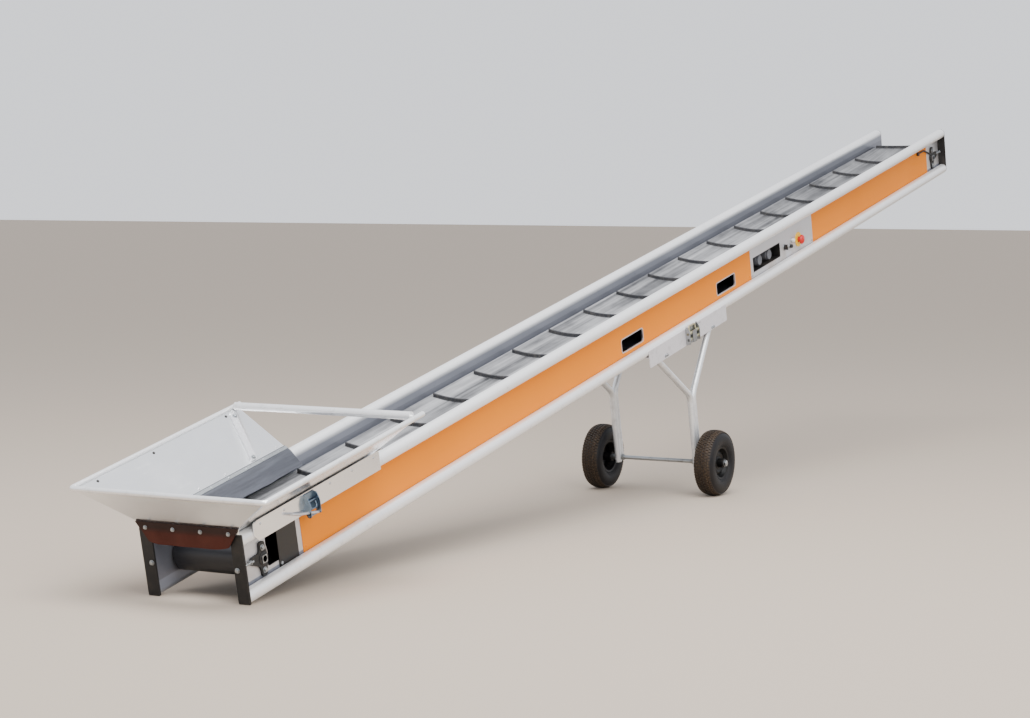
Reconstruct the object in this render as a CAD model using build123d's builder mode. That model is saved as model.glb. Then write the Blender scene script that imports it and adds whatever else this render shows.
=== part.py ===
from build123d import *
import math
import os

# A mobile belt conveyor on two wheels: a long inclined aluminium frame with a cleated belt,
# a loading hopper at the low tail end and a clamped-on undercarriage under the middle.
# Places along the frame are given as s (from the tail end), y (across) and h (above the
# underside of the frame). Millimetres.

# Stance and overall size
INCLINE_DEG = 12.4
CONVEYOR_LENGTH = 6000.0
CONVEYOR_WIDTH = 370.0
CHANNEL_HEIGHT = 215.0
SEAT_GAP = 0.3

# Side frames: a web between two hollow rounded rails
RAIL_SIZE = 42.0
RAIL_RADIUS = 19.0
RAIL_WALL = 3.0
RAIL_SPINE = 48.0
WEB_THICKNESS = 4.0
TAIL_CAP_THICKNESS = 6.0
TAIL_CAP_RADIUS = 4.0
HEAD_CAP_THICKNESS = 3.0

# Handle slots in the webs, by their centres along the frame
HANDLE_SLOT_PLACES = (2600.0, 3458.0)
HANDLE_SLOT_LENGTH = 178.0
HANDLE_SLOT_HEIGHT = 48.0
HANDLE_SLOT_RADIUS = 8.0
HANDLE_SLOT_MIDDLE = 81.0

# Coloured side panels, and the bare plate with the controls between them on the near side
PANEL_THICKNESS = 1.5
PANEL_START = 345.0
PANEL_HEAD_GAP = 170.0
PANEL_EDGE = 38.0
PANEL_JOINT = 1.0
CONTROL_PLATE_LENGTH = 664.0
CONTROL_PLATE_HEAD_GAP = 1624.0

# Controls, by their distance from the start of the plate, and the socket box about the drum height
SOCKET_BOX_INSET = 25.0
SOCKET_BOX_LENGTH = 283.0
SOCKET_BOX_DROP = 35.0
SOCKET_BOX_RISE = 26.0
SOCKET_BOX_DEPTH = 42.0
SOCKET_BOX_WALL = 2.5
SOCKET_INSETS = (118.0, 218.0)
SOCKET_RADIUS = 24.0
SOCKET_LENGTH = 30.0
SELECTOR_INSET = 354.0
SELECTOR_HEIGHT = 89.0
SELECTOR_RADIUS = 15.0
SELECTOR_GRIP_WIDTH = 10.0
PUSH_BUTTON_PLACES = ((413.0, 80.0), (438.0, 100.0))
PUSH_BUTTON_RADIUS = 11.0
PUSH_BUTTON_CAP_RADIUS = 8.0
STOP_INSET = 505.0
STOP_HEIGHT = 88.0
STOP_RING_RADIUS = 31.0
STOP_HEAD_RADIUS = 20.0
STOP_STEM_RADIUS = 12.0
STOP_HEAD_LENGTH = 14.0
STOP_STEM_LENGTH = 14.0
STOP_HEAD_ROUNDING = 3.0
CONTROL_BASE = 3.0
CONTROL_KNOB = 14.0

# Drums, belt and cleats
TAIL_DRUM_INSET = 133.0
HEAD_DRUM_INSET = 103.0
DRUM_HEIGHT = 95.0
DRUM_RADIUS = 51.0
DRUM_GAP = 9.0
DRUM_WALL = 3.0
SHAFT_RADIUS = 10.0
SHAFT_OVERHANG = 5.0
BELT_GAP = 7.0
BELT_THICKNESS = 4.0
TROUGH_DEPTH = 20.0
TROUGH_RUN_IN = 250.0
CLEAT_PITCH = 285.0
CLEAT_START = 39.0
CLEAT_MARGIN = 14.0
CLEAT_HEIGHT = 13.0
CLEAT_THICKNESS = 8.0
CLEAT_ROOT = 1.0
BED_THICKNESS = 2.5
BED_LEG = 18.0

# Bearing brackets, tension screws and openings in the webs at both ends
SHAFT_SLOT_LENGTH = 44.0
SHAFT_SLOT_HEIGHT = 24.0
BEARING_WIDTH = 46.0
BEARING_HEIGHT = 106.0
BEARING_ARM_LENGTH = 40.0
BEARING_ARM_HEIGHT = 22.0
BEARING_THICKNESS = 8.0
BEARING_RADIUS = 6.0
BEARING_BOLT_SPACING = 70.0
BEARING_BOLT_RADIUS = 7.0
BEARING_BOLT_HEIGHT = 5.0
TENSION_SCREW_RADIUS = 4.0
TENSION_SCREW_HEIGHT = 105.0
TENSION_HEAD_RADIUS = 9.0
TENSION_HEAD_LENGTH = 6.0
TAIL_OPENING_START = 160.0
TAIL_OPENING_END = 300.0
TAIL_OPENING_HEIGHT = 96.0
TAIL_OPENING_RADIUS = 8.0
TAIL_COVER_START = 216.0
TAIL_COVER_END = 318.0
TAIL_COVER_THICKNESS = 3.0

# Cable of the motor in the head drum, on the near side
CABLE_RADIUS = 4.0
CABLE_LENGTH = 165.0
CABLE_BEND = 60.0
CABLE_GLAND_HEIGHT = 152.0
CABLE_GLAND_RADIUS = 9.0
CABLE_GLAND_LENGTH = 10.0
CABLE_END_HEIGHT = 118.0
CABLE_END_GAP = 2.0

# Stations along the frame, each with a tie and a pair of return rollers
STATION_COUNT = 5
TIE_RADIUS = 10.0
TIE_HEIGHT = 92.0
ROLLER_RADIUS = 12.0
ROLLER_LENGTH = 14.0
ROLLER_PIN_RADIUS = 5.0
ROLLER_GAP = 3.0

# Hopper: sheet plates under a tube rim, seated on the upper rails
HOPPER_RIM_HEIGHT = 361.0
HOPPER_OVERHANG = 171.0
HOPPER_RIM_FRONT = -93.0
HOPPER_RAIL_END = 786.0
HOPPER_RIM_RADIUS = 8.5
HOPPER_RIM_BEND = 14.0
HOPPER_CROSSBAR_PLACE = 742.0
HOPPER_CROSSBAR_RADIUS = 13.0
HOPPER_CROSSBAR_LIFT = 6.0
HOPPER_CROSSBAR_GAP = 6.0
HOPPER_SPIGOT_RADIUS = 6.0
HOPPER_SPIGOT_LIFT = 3.0
HOPPER_SHEET = 2.5
HOPPER_CORNER_GAP = 2.5
HOPPER_PLATE_INSET = 35.0
HOPPER_PLATE_BACK = 762.0
HOPPER_PLATE_BACK_FOOT = 752.0
HOPPER_LIP_PLACE = -6.0
HOPPER_LIP_TOP = 238.0
HOPPER_LIP_HEIGHT = 18.0
HOPPER_SKIRT_START = 60.0
HOPPER_SKIRT_END = 754.0
HOPPER_SKIRT_CUT = 20.0
HOPPER_SKIRT_BOTTOM = 172.0
HOPPER_SKIRT_DROP = 7.4
HOPPER_SKIRT_LEG = 16.0
SEAL_THICKNESS = 4.0
SEAL_START = 14.0
SEAL_OVERLAP = 26.0
SEAL_TIP_INSET = 27.0
SEAL_TIP_HEIGHT = 166.0
FLAP_TOP_OVERLAP = 1.0
FLAP_TIP_INSET = 47.0
FLAP_TIP_HEIGHT = 166.0
BRACE_WIDTH = 28.0
BRACE_THICKNESS = 4.0
BRACE_TOP_PLACE = 712.0
BRACE_FOOT_PLACE = 590.0
BRACE_TOP_GAP = 13.0
BRACE_SEAL_GAP = 4.0
LATCH_PLACE = 351.0
LATCH_WIDTH = 56.0
LATCH_BOTTOM = 158.0
LATCH_BASE_THICKNESS = 3.0
LATCH_CHEEK_DEPTH = 18.0
LATCH_CHEEK_THICKNESS = 3.0
LATCH_PIN_RADIUS = 4.0
LATCH_LEVER_LENGTH = 150.0
LATCH_LEVER_RADIUS = 4.5
LATCH_LEVER_TURN = 14.0

# Undercarriage
CARRIAGE_PLACE = 3007.0
CHASSIS_START = 2651.0
CHASSIS_END = 3356.0
CHASSIS_THICKNESS = 3.5
CHASSIS_TOP = 25.0
CHASSIS_BOTTOM = -41.0
CHASSIS_LEDGE = 38.0
LEG_TUBE_RADIUS = 12.5
LEG_TUBE_SPACING = 24.0
LEG_FORK_HEIGHT = -252.0
LEG_TOP_HEIGHT = -18.0
LEG_TOPS = (2722.0, 3231.0)
LEG_BEND_RADIUS = 60.0
LEG_BELOW_AXLE = 16.0
AXLE_RADIUS = 8.0
AXLE_NUT_RADIUS = 13.0
AXLE_NUT_LENGTH = 10.0
CLAMP_START = 2972.0
CLAMP_END = 3063.0
CLAMP_DEPTH = 16.0
CLAMP_CHEEK_THICKNESS = 3.0
CLAMP_PIN_RADIUS = 6.0
CLAMP_HOOK_HEIGHT = 34.0

# Wheels
WHEEL_RADIUS = 130.0
WHEEL_GAP = 22.0
TYRE_WIDTH = 82.0
TYRE_TREAD_WIDTH = 56.0
TYRE_SIDE_DEPTH = 30.0
TYRE_BEAD_RADIUS = 58.2
HUB_LENGTH = 88.0
HUB_RADIUS = 19.0
RIM_WIDTH = 66.0
RIM_WALL = 5.0
RIM_DISC_THICKNESS = 5.0
BORE_CLEARANCE = 0.05

# Derived places
incline = math.radians(INCLINE_DEG)
half_width = CONVEYOR_WIDTH / 2
web_inner = half_width - RAIL_SIZE
web_outer = web_inner + WEB_THICKNESS
web_middle = (web_inner + web_outer) / 2
rail_middle_y = half_width - RAIL_SIZE / 2
rail_middles = (RAIL_SIZE / 2, CHANNEL_HEIGHT - RAIL_SIZE / 2)
channel_start = TAIL_CAP_THICKNESS
channel_end = CONVEYOR_LENGTH - HEAD_CAP_THICKNESS
panel_end = CONVEYOR_LENGTH - PANEL_HEAD_GAP
plate_end = CONVEYOR_LENGTH - CONTROL_PLATE_HEAD_GAP
plate_start = plate_end - CONTROL_PLATE_LENGTH
socket_box_start = plate_start + SOCKET_BOX_INSET
socket_box_end = socket_box_start + SOCKET_BOX_LENGTH
socket_box_bottom = DRUM_HEIGHT - SOCKET_BOX_DROP
socket_box_top = DRUM_HEIGHT + SOCKET_BOX_RISE
tail_drum_place = TAIL_DRUM_INSET
head_drum_place = CONVEYOR_LENGTH - HEAD_DRUM_INSET
run_length = head_drum_place - tail_drum_place
stations = [tail_drum_place + run_length * (i + 0.5) / STATION_COUNT for i in range(STATION_COUNT)]
belt_top = DRUM_HEIGHT + DRUM_RADIUS + BELT_THICKNESS
belt_bottom = DRUM_HEIGHT - DRUM_RADIUS - BELT_THICKNESS
belt_half = web_inner - BELT_GAP
trough_start = tail_drum_place + TROUGH_RUN_IN
trough_end = head_drum_place - TROUGH_RUN_IN
rim_middle_h = HOPPER_RIM_HEIGHT - HOPPER_RIM_RADIUS
rim_middle_y = half_width + HOPPER_OVERHANG - HOPPER_RIM_RADIUS
rim_middle_s = HOPPER_RIM_FRONT + HOPPER_RIM_RADIUS

# The frame stands on the lower edge of its tail end caps. The row's origin lies on the floor
# under the middle of the whole conveyor, from the hopper's rim to the head end.
hopper_tip = rim_middle_s * math.cos(incline) - rim_middle_h * math.sin(incline) - HOPPER_RIM_RADIUS
head_tip = CONVEYOR_LENGTH * math.cos(incline)
s_axis = Vector(math.cos(incline), 0, math.sin(incline))
h_axis = Vector(-math.sin(incline), 0, math.cos(incline))
y_axis = Vector(0, 1, 0)
deck = Plane(origin=(-(hopper_tip + head_tip) / 2, 0, 0), x_dir=s_axis, z_dir=h_axis)

# The axle is one wheel radius above the floor, which sets how far the legs reach down.
axle_h = (WHEEL_RADIUS - CARRIAGE_PLACE * math.sin(incline)) / math.cos(incline)

# The hopper's side plates run straight from the rim and rest on the rails' rounded inner edge.
seat_y = rim_middle_y - (web_inner + RAIL_RADIUS)
seat_h = rim_middle_h - (CHANNEL_HEIGHT - RAIL_RADIUS)
seat_reach = RAIL_RADIUS + HOPPER_SHEET / 2 + SEAT_GAP
plate_slope = math.atan2(seat_h, seat_y) - math.asin(seat_reach / math.hypot(seat_h, seat_y))

# The skirts end below the plates, at their outer face.
skirt_inner = half_width + SEAT_GAP
skirt_outer = skirt_inner + HOPPER_SHEET
plate_h_at_skirt = rim_middle_h - (rim_middle_y - skirt_outer) * math.tan(plate_slope)
skirt_top = plate_h_at_skirt - HOPPER_SKIRT_DROP

SIDES = (("near", -1), ("far", 1))
SIGNS = (-1, 1)
ENDS = (("tail", 0.0, 1, TAIL_DRUM_INSET), ("head", CONVEYOR_LENGTH, -1, HEAD_DRUM_INSET))


def place(s, y, h):
    """World point of a place on the frame."""
    return deck.from_local_coords(Vector(s, y, h))


def across(s):
    """Plane across the frame: its x is y, its y is h, and it faces the head."""
    return Plane(origin=place(s, 0, 0), x_dir=y_axis, z_dir=s_axis)


def side(y):
    """Plane along the frame: its x is s, its y is h, and it faces -Y."""
    return Plane(origin=place(0, y, 0), x_dir=s_axis, z_dir=-y_axis)


def slope(sign):
    """Plane of a hopper side plate: its x is s, its y runs down the plate from the rim."""
    down = y_axis * (-sign * math.cos(plate_slope)) - h_axis * math.sin(plate_slope)
    return Plane(origin=place(0, sign * rim_middle_y, rim_middle_h), x_dir=s_axis, z_dir=s_axis.cross(down))


def block(start, end, bottom, top, radius=0.0, mode=Mode.ADD):
    """Rectangle in a sketch by its sides, with rounded corners where a radius is given."""
    with Locations(((start + end) / 2, (bottom + top) / 2)):
        if radius:
            RectangleRounded(end - start, top - bottom, radius, mode=mode)
        else:
            Rectangle(end - start, top - bottom, mode=mode)


def disc(middle_s, middle_h, radius, mode=Mode.ADD):
    """Circle in a sketch at a place on the frame."""
    with Locations((middle_s, middle_h)):
        Circle(radius, mode=mode)


def slope_reach(y):
    """Distance down a hopper side plate from the rim to where it is y from the middle."""
    return (rim_middle_y - y) / math.cos(plate_slope)


nodes = {}


def keep(name, builder):
    """Label a finished piece and list it for export."""
    builder.part.label = name
    nodes[name] = builder.part


# Side frames: the rails carry a spine that the web meets edge to edge.
for level, middle, spine_bottom, spine_top in (
    ("bottom", rail_middles[0], rail_middles[0], RAIL_SPINE),
    ("top", rail_middles[1], CHANNEL_HEIGHT - RAIL_SPINE, rail_middles[1]),
):
    with BuildPart() as rails:
        with BuildSketch(across(channel_start)):
            for sign in SIGNS:
                with Locations((sign * rail_middle_y, middle)):
                    RectangleRounded(RAIL_SIZE, RAIL_SIZE, RAIL_RADIUS)
                with Locations((sign * web_middle, (spine_bottom + spine_top) / 2)):
                    Rectangle(WEB_THICKNESS, spine_top - spine_bottom)
                with Locations((sign * rail_middle_y, middle)):
                    RectangleRounded(
                        RAIL_SIZE - 2 * RAIL_WALL,
                        RAIL_SIZE - 2 * RAIL_WALL,
                        RAIL_RADIUS - RAIL_WALL,
                        mode=Mode.SUBTRACT,
                    )
        extrude(amount=channel_end - channel_start)
    keep(f"{level}_rails", rails)

# Webs, with the handle slots, the slots of the drum shafts and the tail openings
for side_name, sign in SIDES:
    with BuildPart() as web:
        with BuildSketch(side(sign * web_middle)):
            block(channel_start, channel_end, RAIL_SPINE, CHANNEL_HEIGHT - RAIL_SPINE)
            for slot_place in HANDLE_SLOT_PLACES:
                with Locations((slot_place, HANDLE_SLOT_MIDDLE)):
                    RectangleRounded(
                        HANDLE_SLOT_LENGTH, HANDLE_SLOT_HEIGHT, HANDLE_SLOT_RADIUS, mode=Mode.SUBTRACT
                    )
            for end_name, end_place, direction, inset in ENDS:
                with Locations((end_place + direction * inset, DRUM_HEIGHT)):
                    SlotOverall(SHAFT_SLOT_LENGTH, SHAFT_SLOT_HEIGHT, mode=Mode.SUBTRACT)
            with Locations(((TAIL_OPENING_START + TAIL_OPENING_END) / 2, CHANNEL_HEIGHT / 2)):
                RectangleRounded(
                    TAIL_OPENING_END - TAIL_OPENING_START,
                    TAIL_OPENING_HEIGHT,
                    TAIL_OPENING_RADIUS,
                    mode=Mode.SUBTRACT,
                )
            if side_name == "near":
                block(
                    socket_box_start, socket_box_end, socket_box_bottom, socket_box_top, mode=Mode.SUBTRACT
                )
        extrude(amount=WEB_THICKNESS / 2, both=True)
    keep(f"side_web_{side_name}", web)

# End caps close the rails. The tail ones are thick, square feet, the head ones follow the rails.
screw_y = web_outer + BEARING_THICKNESS
for (end_name, end_place, direction, inset), cap_thickness, cap_radius in zip(
    ENDS, (TAIL_CAP_THICKNESS, HEAD_CAP_THICKNESS), (TAIL_CAP_RADIUS, RAIL_RADIUS)
):
    with BuildPart() as caps:
        with BuildSketch(across(end_place)):
            for sign in SIGNS:
                with Locations((sign * rail_middle_y, CHANNEL_HEIGHT / 2)):
                    RectangleRounded(RAIL_SIZE, CHANNEL_HEIGHT, cap_radius)
                disc(sign * screw_y, TENSION_SCREW_HEIGHT, TENSION_SCREW_RADIUS + SEAT_GAP, Mode.SUBTRACT)
        extrude(amount=direction * cap_thickness)
    keep(f"{end_name}_caps", caps)

# Coloured panels on the webs, cut out round the handle slots
panel_bottom = PANEL_EDGE
panel_top = CHANNEL_HEIGHT - PANEL_EDGE
for panel_name, sign, start, end in (
    ("side_panel_near_lower", -1, PANEL_START, plate_start - PANEL_JOINT),
    ("side_panel_near_upper", -1, plate_end + PANEL_JOINT, panel_end),
    ("side_panel_far", 1, PANEL_START, panel_end),
):
    with BuildPart() as panel:
        with BuildSketch(side(sign * (web_outer + PANEL_THICKNESS / 2))):
            block(start, end, panel_bottom, panel_top)
            for slot_place in HANDLE_SLOT_PLACES:
                if start < slot_place < end:
                    with Locations((slot_place, HANDLE_SLOT_MIDDLE)):
                        RectangleRounded(
                            HANDLE_SLOT_LENGTH, HANDLE_SLOT_HEIGHT, HANDLE_SLOT_RADIUS, mode=Mode.SUBTRACT
                        )
        extrude(amount=PANEL_THICKNESS / 2, both=True)
    keep(panel_name, panel)

# Control plate, with the window of the socket box
with BuildPart() as control_plate:
    with BuildSketch(side(-web_outer)):
        block(plate_start, plate_end, panel_bottom, panel_top)
        block(socket_box_start, socket_box_end, socket_box_bottom, socket_box_top, mode=Mode.SUBTRACT)
    extrude(amount=PANEL_THICKNESS)
keep("control_plate", control_plate)
plate_face = web_outer + PANEL_THICKNESS

# Socket box behind its window, open to the outside, with two sockets on its back wall
box_back = plate_face - SOCKET_BOX_DEPTH
with BuildPart() as socket_box:
    with BuildSketch(side(-box_back)):
        block(
            socket_box_start + SEAT_GAP,
            socket_box_end - SEAT_GAP,
            socket_box_bottom + SEAT_GAP,
            socket_box_top - SEAT_GAP,
        )
    extrude(amount=SOCKET_BOX_DEPTH)
    with BuildSketch(side(-box_back - SOCKET_BOX_WALL)):
        block(
            socket_box_start + SOCKET_BOX_WALL,
            socket_box_end - SOCKET_BOX_WALL,
            socket_box_bottom + SOCKET_BOX_WALL,
            socket_box_top - SOCKET_BOX_WALL,
        )
    extrude(amount=SOCKET_BOX_DEPTH, mode=Mode.SUBTRACT)
keep("socket_box", socket_box)

with BuildPart() as sockets:
    with BuildSketch(side(-box_back - SOCKET_BOX_WALL)):
        for inset in SOCKET_INSETS:
            disc(plate_start + inset, (socket_box_bottom + socket_box_top) / 2, SOCKET_RADIUS)
    extrude(amount=SOCKET_LENGTH)
keep("power_sockets", sockets)

# Selector, push buttons and emergency stop on the plate
selector_place = plate_start + SELECTOR_INSET
stop_place = plate_start + STOP_INSET
with BuildPart() as selector:
    with BuildSketch(side(-plate_face)):
        disc(selector_place, SELECTOR_HEIGHT, SELECTOR_RADIUS)
    extrude(amount=CONTROL_BASE)
    with BuildSketch(side(-plate_face - CONTROL_BASE)):
        block(
            selector_place - SELECTOR_GRIP_WIDTH / 2,
            selector_place + SELECTOR_GRIP_WIDTH / 2,
            SELECTOR_HEIGHT - SELECTOR_RADIUS,
            SELECTOR_HEIGHT + SELECTOR_RADIUS,
        )
    extrude(amount=CONTROL_KNOB)
keep("selector_switch", selector)

with BuildPart() as buttons:
    with BuildSketch(side(-plate_face)):
        for inset, button_height in PUSH_BUTTON_PLACES:
            disc(plate_start + inset, button_height, PUSH_BUTTON_RADIUS)
    extrude(amount=CONTROL_BASE)
    with BuildSketch(side(-plate_face - CONTROL_BASE)):
        for inset, button_height in PUSH_BUTTON_PLACES:
            disc(plate_start + inset, button_height, PUSH_BUTTON_CAP_RADIUS)
    extrude(amount=CONTROL_KNOB - CONTROL_BASE)
keep("push_buttons", buttons)

with BuildPart() as stop_ring:
    with BuildSketch(side(-plate_face)):
        disc(stop_place, STOP_HEIGHT, STOP_RING_RADIUS)
        disc(stop_place, STOP_HEIGHT, STOP_STEM_RADIUS + SEAT_GAP, Mode.SUBTRACT)
    extrude(amount=CONTROL_BASE)
keep("stop_ring", stop_ring)

with BuildPart() as stop_button:
    with BuildSketch(side(-plate_face)):
        disc(stop_place, STOP_HEIGHT, STOP_STEM_RADIUS)
    extrude(amount=STOP_STEM_LENGTH)
    with BuildSketch(side(-plate_face - STOP_STEM_LENGTH)):
        disc(stop_place, STOP_HEIGHT, STOP_HEAD_RADIUS)
    extrude(amount=STOP_HEAD_LENGTH)
    fillet(stop_button.edges().filter_by(GeomType.CIRCLE).sort_by(Axis.Y)[0], STOP_HEAD_ROUNDING)
keep("stop_button", stop_button)

# Drums on their shafts. The head drum holds the motor and is solid.
drum_half = web_inner - DRUM_GAP
drum_face = DRUM_RADIUS - SEAT_GAP
shaft_half = web_outer + BEARING_THICKNESS + SHAFT_OVERHANG
for end_name, end_place, direction, inset in ENDS:
    drum_place = end_place + direction * inset
    with BuildPart() as drum:
        with BuildSketch(side(0)):
            disc(drum_place, DRUM_HEIGHT, drum_face)
            if end_name == "tail":
                disc(drum_place, DRUM_HEIGHT, drum_face - DRUM_WALL, Mode.SUBTRACT)
        extrude(amount=drum_half, both=True)
        if end_name == "tail":
            for sign in SIGNS:
                with BuildSketch(side(sign * (drum_half - DRUM_WALL))):
                    disc(drum_place, DRUM_HEIGHT, drum_face - DRUM_WALL)
                extrude(amount=-sign * DRUM_WALL)
        with BuildSketch(side(0)):
            disc(drum_place, DRUM_HEIGHT, SHAFT_RADIUS)
        extrude(amount=shaft_half, both=True)
    keep(f"{end_name}_drum", drum)

# Belt: flat round the drums and on the return run, troughed on the carrying run, with cleats
wrap_radius = DRUM_RADIUS + BELT_THICKNESS
wrap_length = math.pi * (DRUM_RADIUS + BELT_THICKNESS / 2)
loop_length = 2 * (run_length + wrap_length)
cleat_count = int(loop_length / CLEAT_PITCH)


def trough_drop(s):
    """How far the middle of the carrying run hangs below its edges."""
    run_in = min(s - tail_drum_place, head_drum_place - s) / TROUGH_RUN_IN
    return TROUGH_DEPTH * max(0.0, min(1.0, run_in))


def trough_depth(y, drop):
    """Depth of the troughed belt below its edges, at a distance from its middle."""
    radius = (belt_half**2 + drop**2) / (2 * drop)
    return math.sqrt(radius**2 - y**2) - (radius - drop)


def trough_line(half, level, drop):
    """Arc of the trough, from one side to the other, about a level at the belt's edges."""
    edge = level - trough_depth(half, drop)
    ThreePointArc((-half, edge), (0, level - drop), (half, edge))
    return edge


def belt_plane(distance):
    """Plane on the belt's outer face, at a distance round the loop from the tail drum's top."""
    if distance <= run_length:
        turn, s, h = 0.0, tail_drum_place + distance, belt_top
    elif distance <= run_length + wrap_length:
        turn = math.pi * (distance - run_length) / wrap_length
        s = head_drum_place + wrap_radius * math.sin(turn)
        h = DRUM_HEIGHT + wrap_radius * math.cos(turn)
    else:
        turn, s, h = math.pi, head_drum_place - (distance - run_length - wrap_length), belt_bottom
    travel = s_axis * math.cos(turn) - h_axis * math.sin(turn)
    return Plane(origin=place(s, 0, h), x_dir=y_axis, z_dir=travel)


with BuildPart() as belt:
    with BuildSketch(side(0)):
        with Locations(((tail_drum_place + head_drum_place) / 2, DRUM_HEIGHT)):
            SlotCenterToCenter(run_length, 2 * wrap_radius)
            SlotCenterToCenter(run_length, 2 * DRUM_RADIUS, mode=Mode.SUBTRACT)
        block(tail_drum_place, head_drum_place, DRUM_HEIGHT, belt_top + BELT_THICKNESS, mode=Mode.SUBTRACT)
    extrude(amount=belt_half, both=True)
    for flat_place, trough_place in ((tail_drum_place, trough_start), (head_drum_place, trough_end)):
        with BuildSketch(across(flat_place)):
            with Locations((0, belt_top - BELT_THICKNESS / 2)):
                Rectangle(2 * belt_half, BELT_THICKNESS)
        with BuildSketch(across(trough_place)):
            with BuildLine():
                trough_line(belt_half, belt_top, TROUGH_DEPTH)
                trough_line(belt_half, belt_top - BELT_THICKNESS, TROUGH_DEPTH)
                for edge_y in (-belt_half, belt_half):
                    Line((edge_y, belt_top), (edge_y, belt_top - BELT_THICKNESS))
            make_face()
        loft()
    with BuildSketch(across(trough_start)):
        with BuildLine():
            trough_line(belt_half, belt_top, TROUGH_DEPTH)
            trough_line(belt_half, belt_top - BELT_THICKNESS, TROUGH_DEPTH)
            for edge_y in (-belt_half, belt_half):
                Line((edge_y, belt_top), (edge_y, belt_top - BELT_THICKNESS))
        make_face()
    extrude(amount=trough_end - trough_start)
    cleat_half = belt_half - CLEAT_MARGIN
    for cleat in range(cleat_count):
        distance = CLEAT_START + cleat * CLEAT_PITCH
        drop = trough_drop(tail_drum_place + distance)
        with BuildSketch(belt_plane(distance)):
            if drop > 0:
                with BuildLine():
                    root = trough_line(cleat_half, -CLEAT_ROOT, drop)
                    tip = trough_line(cleat_half, CLEAT_HEIGHT, drop)
                    for edge_y in (-cleat_half, cleat_half):
                        Line((edge_y, root), (edge_y, tip))
                make_face()
            else:
                block(-cleat_half, cleat_half, -CLEAT_ROOT, CLEAT_HEIGHT)
    extrude(amount=CLEAT_THICKNESS / 2, both=True)
keep("belt", belt)

# Slide bed under the carrying run, with a leg down each web
bed_half = web_inner - SEAT_GAP
bed_top = belt_top - BELT_THICKNESS - SEAT_GAP
with BuildPart() as bed:
    with BuildSketch(across(trough_start)):
        with BuildLine():
            upper = trough_line(belt_half, bed_top, TROUGH_DEPTH)
            lower = trough_line(belt_half, bed_top - BED_THICKNESS, TROUGH_DEPTH)
            for edge_y in (-belt_half, belt_half):
                Line((edge_y, upper), (edge_y, lower))
        make_face()
        for sign in SIGNS:
            bed_edges = sorted((sign * belt_half, sign * bed_half))
            block(bed_edges[0], bed_edges[1], bed_top - BED_THICKNESS, bed_top)
            leg_edges = sorted((sign * (bed_half - BED_THICKNESS), sign * bed_half))
            block(leg_edges[0], leg_edges[1], bed_top - BED_LEG, bed_top)
    extrude(amount=trough_end - trough_start)
keep("slide_bed", bed)

# Ties between the webs, in the space between the two runs of the belt
with BuildPart() as ties:
    with BuildSketch(side(0)):
        for station in stations:
            disc(station, TIE_HEIGHT, TIE_RADIUS)
    extrude(amount=web_inner - SEAT_GAP, both=True)
keep("cross_ties", ties)

# Return rollers carry the belt's edges, outside the cleats, on pins in the webs
roller_h = belt_bottom - SEAT_GAP - ROLLER_RADIUS
roller_outer = web_inner - SEAT_GAP
with BuildPart() as rollers:
    for sign in SIGNS:
        with BuildSketch(side(sign * (roller_outer - ROLLER_GAP))):
            for station in stations:
                disc(station, roller_h, ROLLER_RADIUS)
        extrude(amount=sign * ROLLER_LENGTH)
        with BuildSketch(side(sign * roller_outer)):
            for station in stations:
                disc(station, roller_h, ROLLER_PIN_RADIUS)
        extrude(amount=sign * ROLLER_LENGTH)
keep("return_rollers", rollers)

# Bearing brackets bolted on the webs, each with an arm that its tension screw pulls
bearing_middle = RAIL_SIZE + BEARING_HEIGHT / 2
for end_name, end_place, direction, inset in ENDS:
    shaft_place = end_place + direction * inset
    with BuildPart() as brackets:
        for sign in SIGNS:
            with BuildSketch(side(sign * (web_outer + BEARING_THICKNESS / 2))):
                with Locations((shaft_place, bearing_middle)):
                    RectangleRounded(BEARING_WIDTH, BEARING_HEIGHT, BEARING_RADIUS)
                arm_edges = sorted(
                    (shaft_place, shaft_place - direction * (BEARING_WIDTH / 2 + BEARING_ARM_LENGTH))
                )
                block(
                    arm_edges[0],
                    arm_edges[1],
                    TENSION_SCREW_HEIGHT - BEARING_ARM_HEIGHT / 2,
                    TENSION_SCREW_HEIGHT + BEARING_ARM_HEIGHT / 2,
                    BEARING_RADIUS,
                )
                disc(shaft_place, DRUM_HEIGHT, SHAFT_RADIUS + SEAT_GAP, Mode.SUBTRACT)
            extrude(amount=BEARING_THICKNESS / 2, both=True)
            with BuildSketch(side(sign * (web_outer + BEARING_THICKNESS))):
                with Locations((shaft_place, bearing_middle)):
                    with GridLocations(0, BEARING_BOLT_SPACING, 1, 2):
                        Circle(BEARING_BOLT_RADIUS)
            extrude(amount=-sign * BEARING_BOLT_HEIGHT)
    keep(f"{end_name}_bearings", brackets)

# Tension screws: from the bracket's arm, out through the end cap, to a head on its face
with BuildPart() as screws:
    for end_name, end_place, direction, inset in ENDS:
        arm_place = inset - BEARING_WIDTH / 2 - BEARING_ARM_LENGTH
        for sign in SIGNS:
            with BuildSketch(across(end_place + direction * (arm_place - SEAT_GAP))):
                disc(sign * screw_y, TENSION_SCREW_HEIGHT, TENSION_SCREW_RADIUS)
            extrude(amount=-direction * arm_place)
            with BuildSketch(across(end_place - direction * SEAT_GAP)):
                disc(sign * screw_y, TENSION_SCREW_HEIGHT, TENSION_HEAD_RADIUS)
            extrude(amount=-direction * TENSION_HEAD_LENGTH)
keep("tension_screws", screws)

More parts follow.
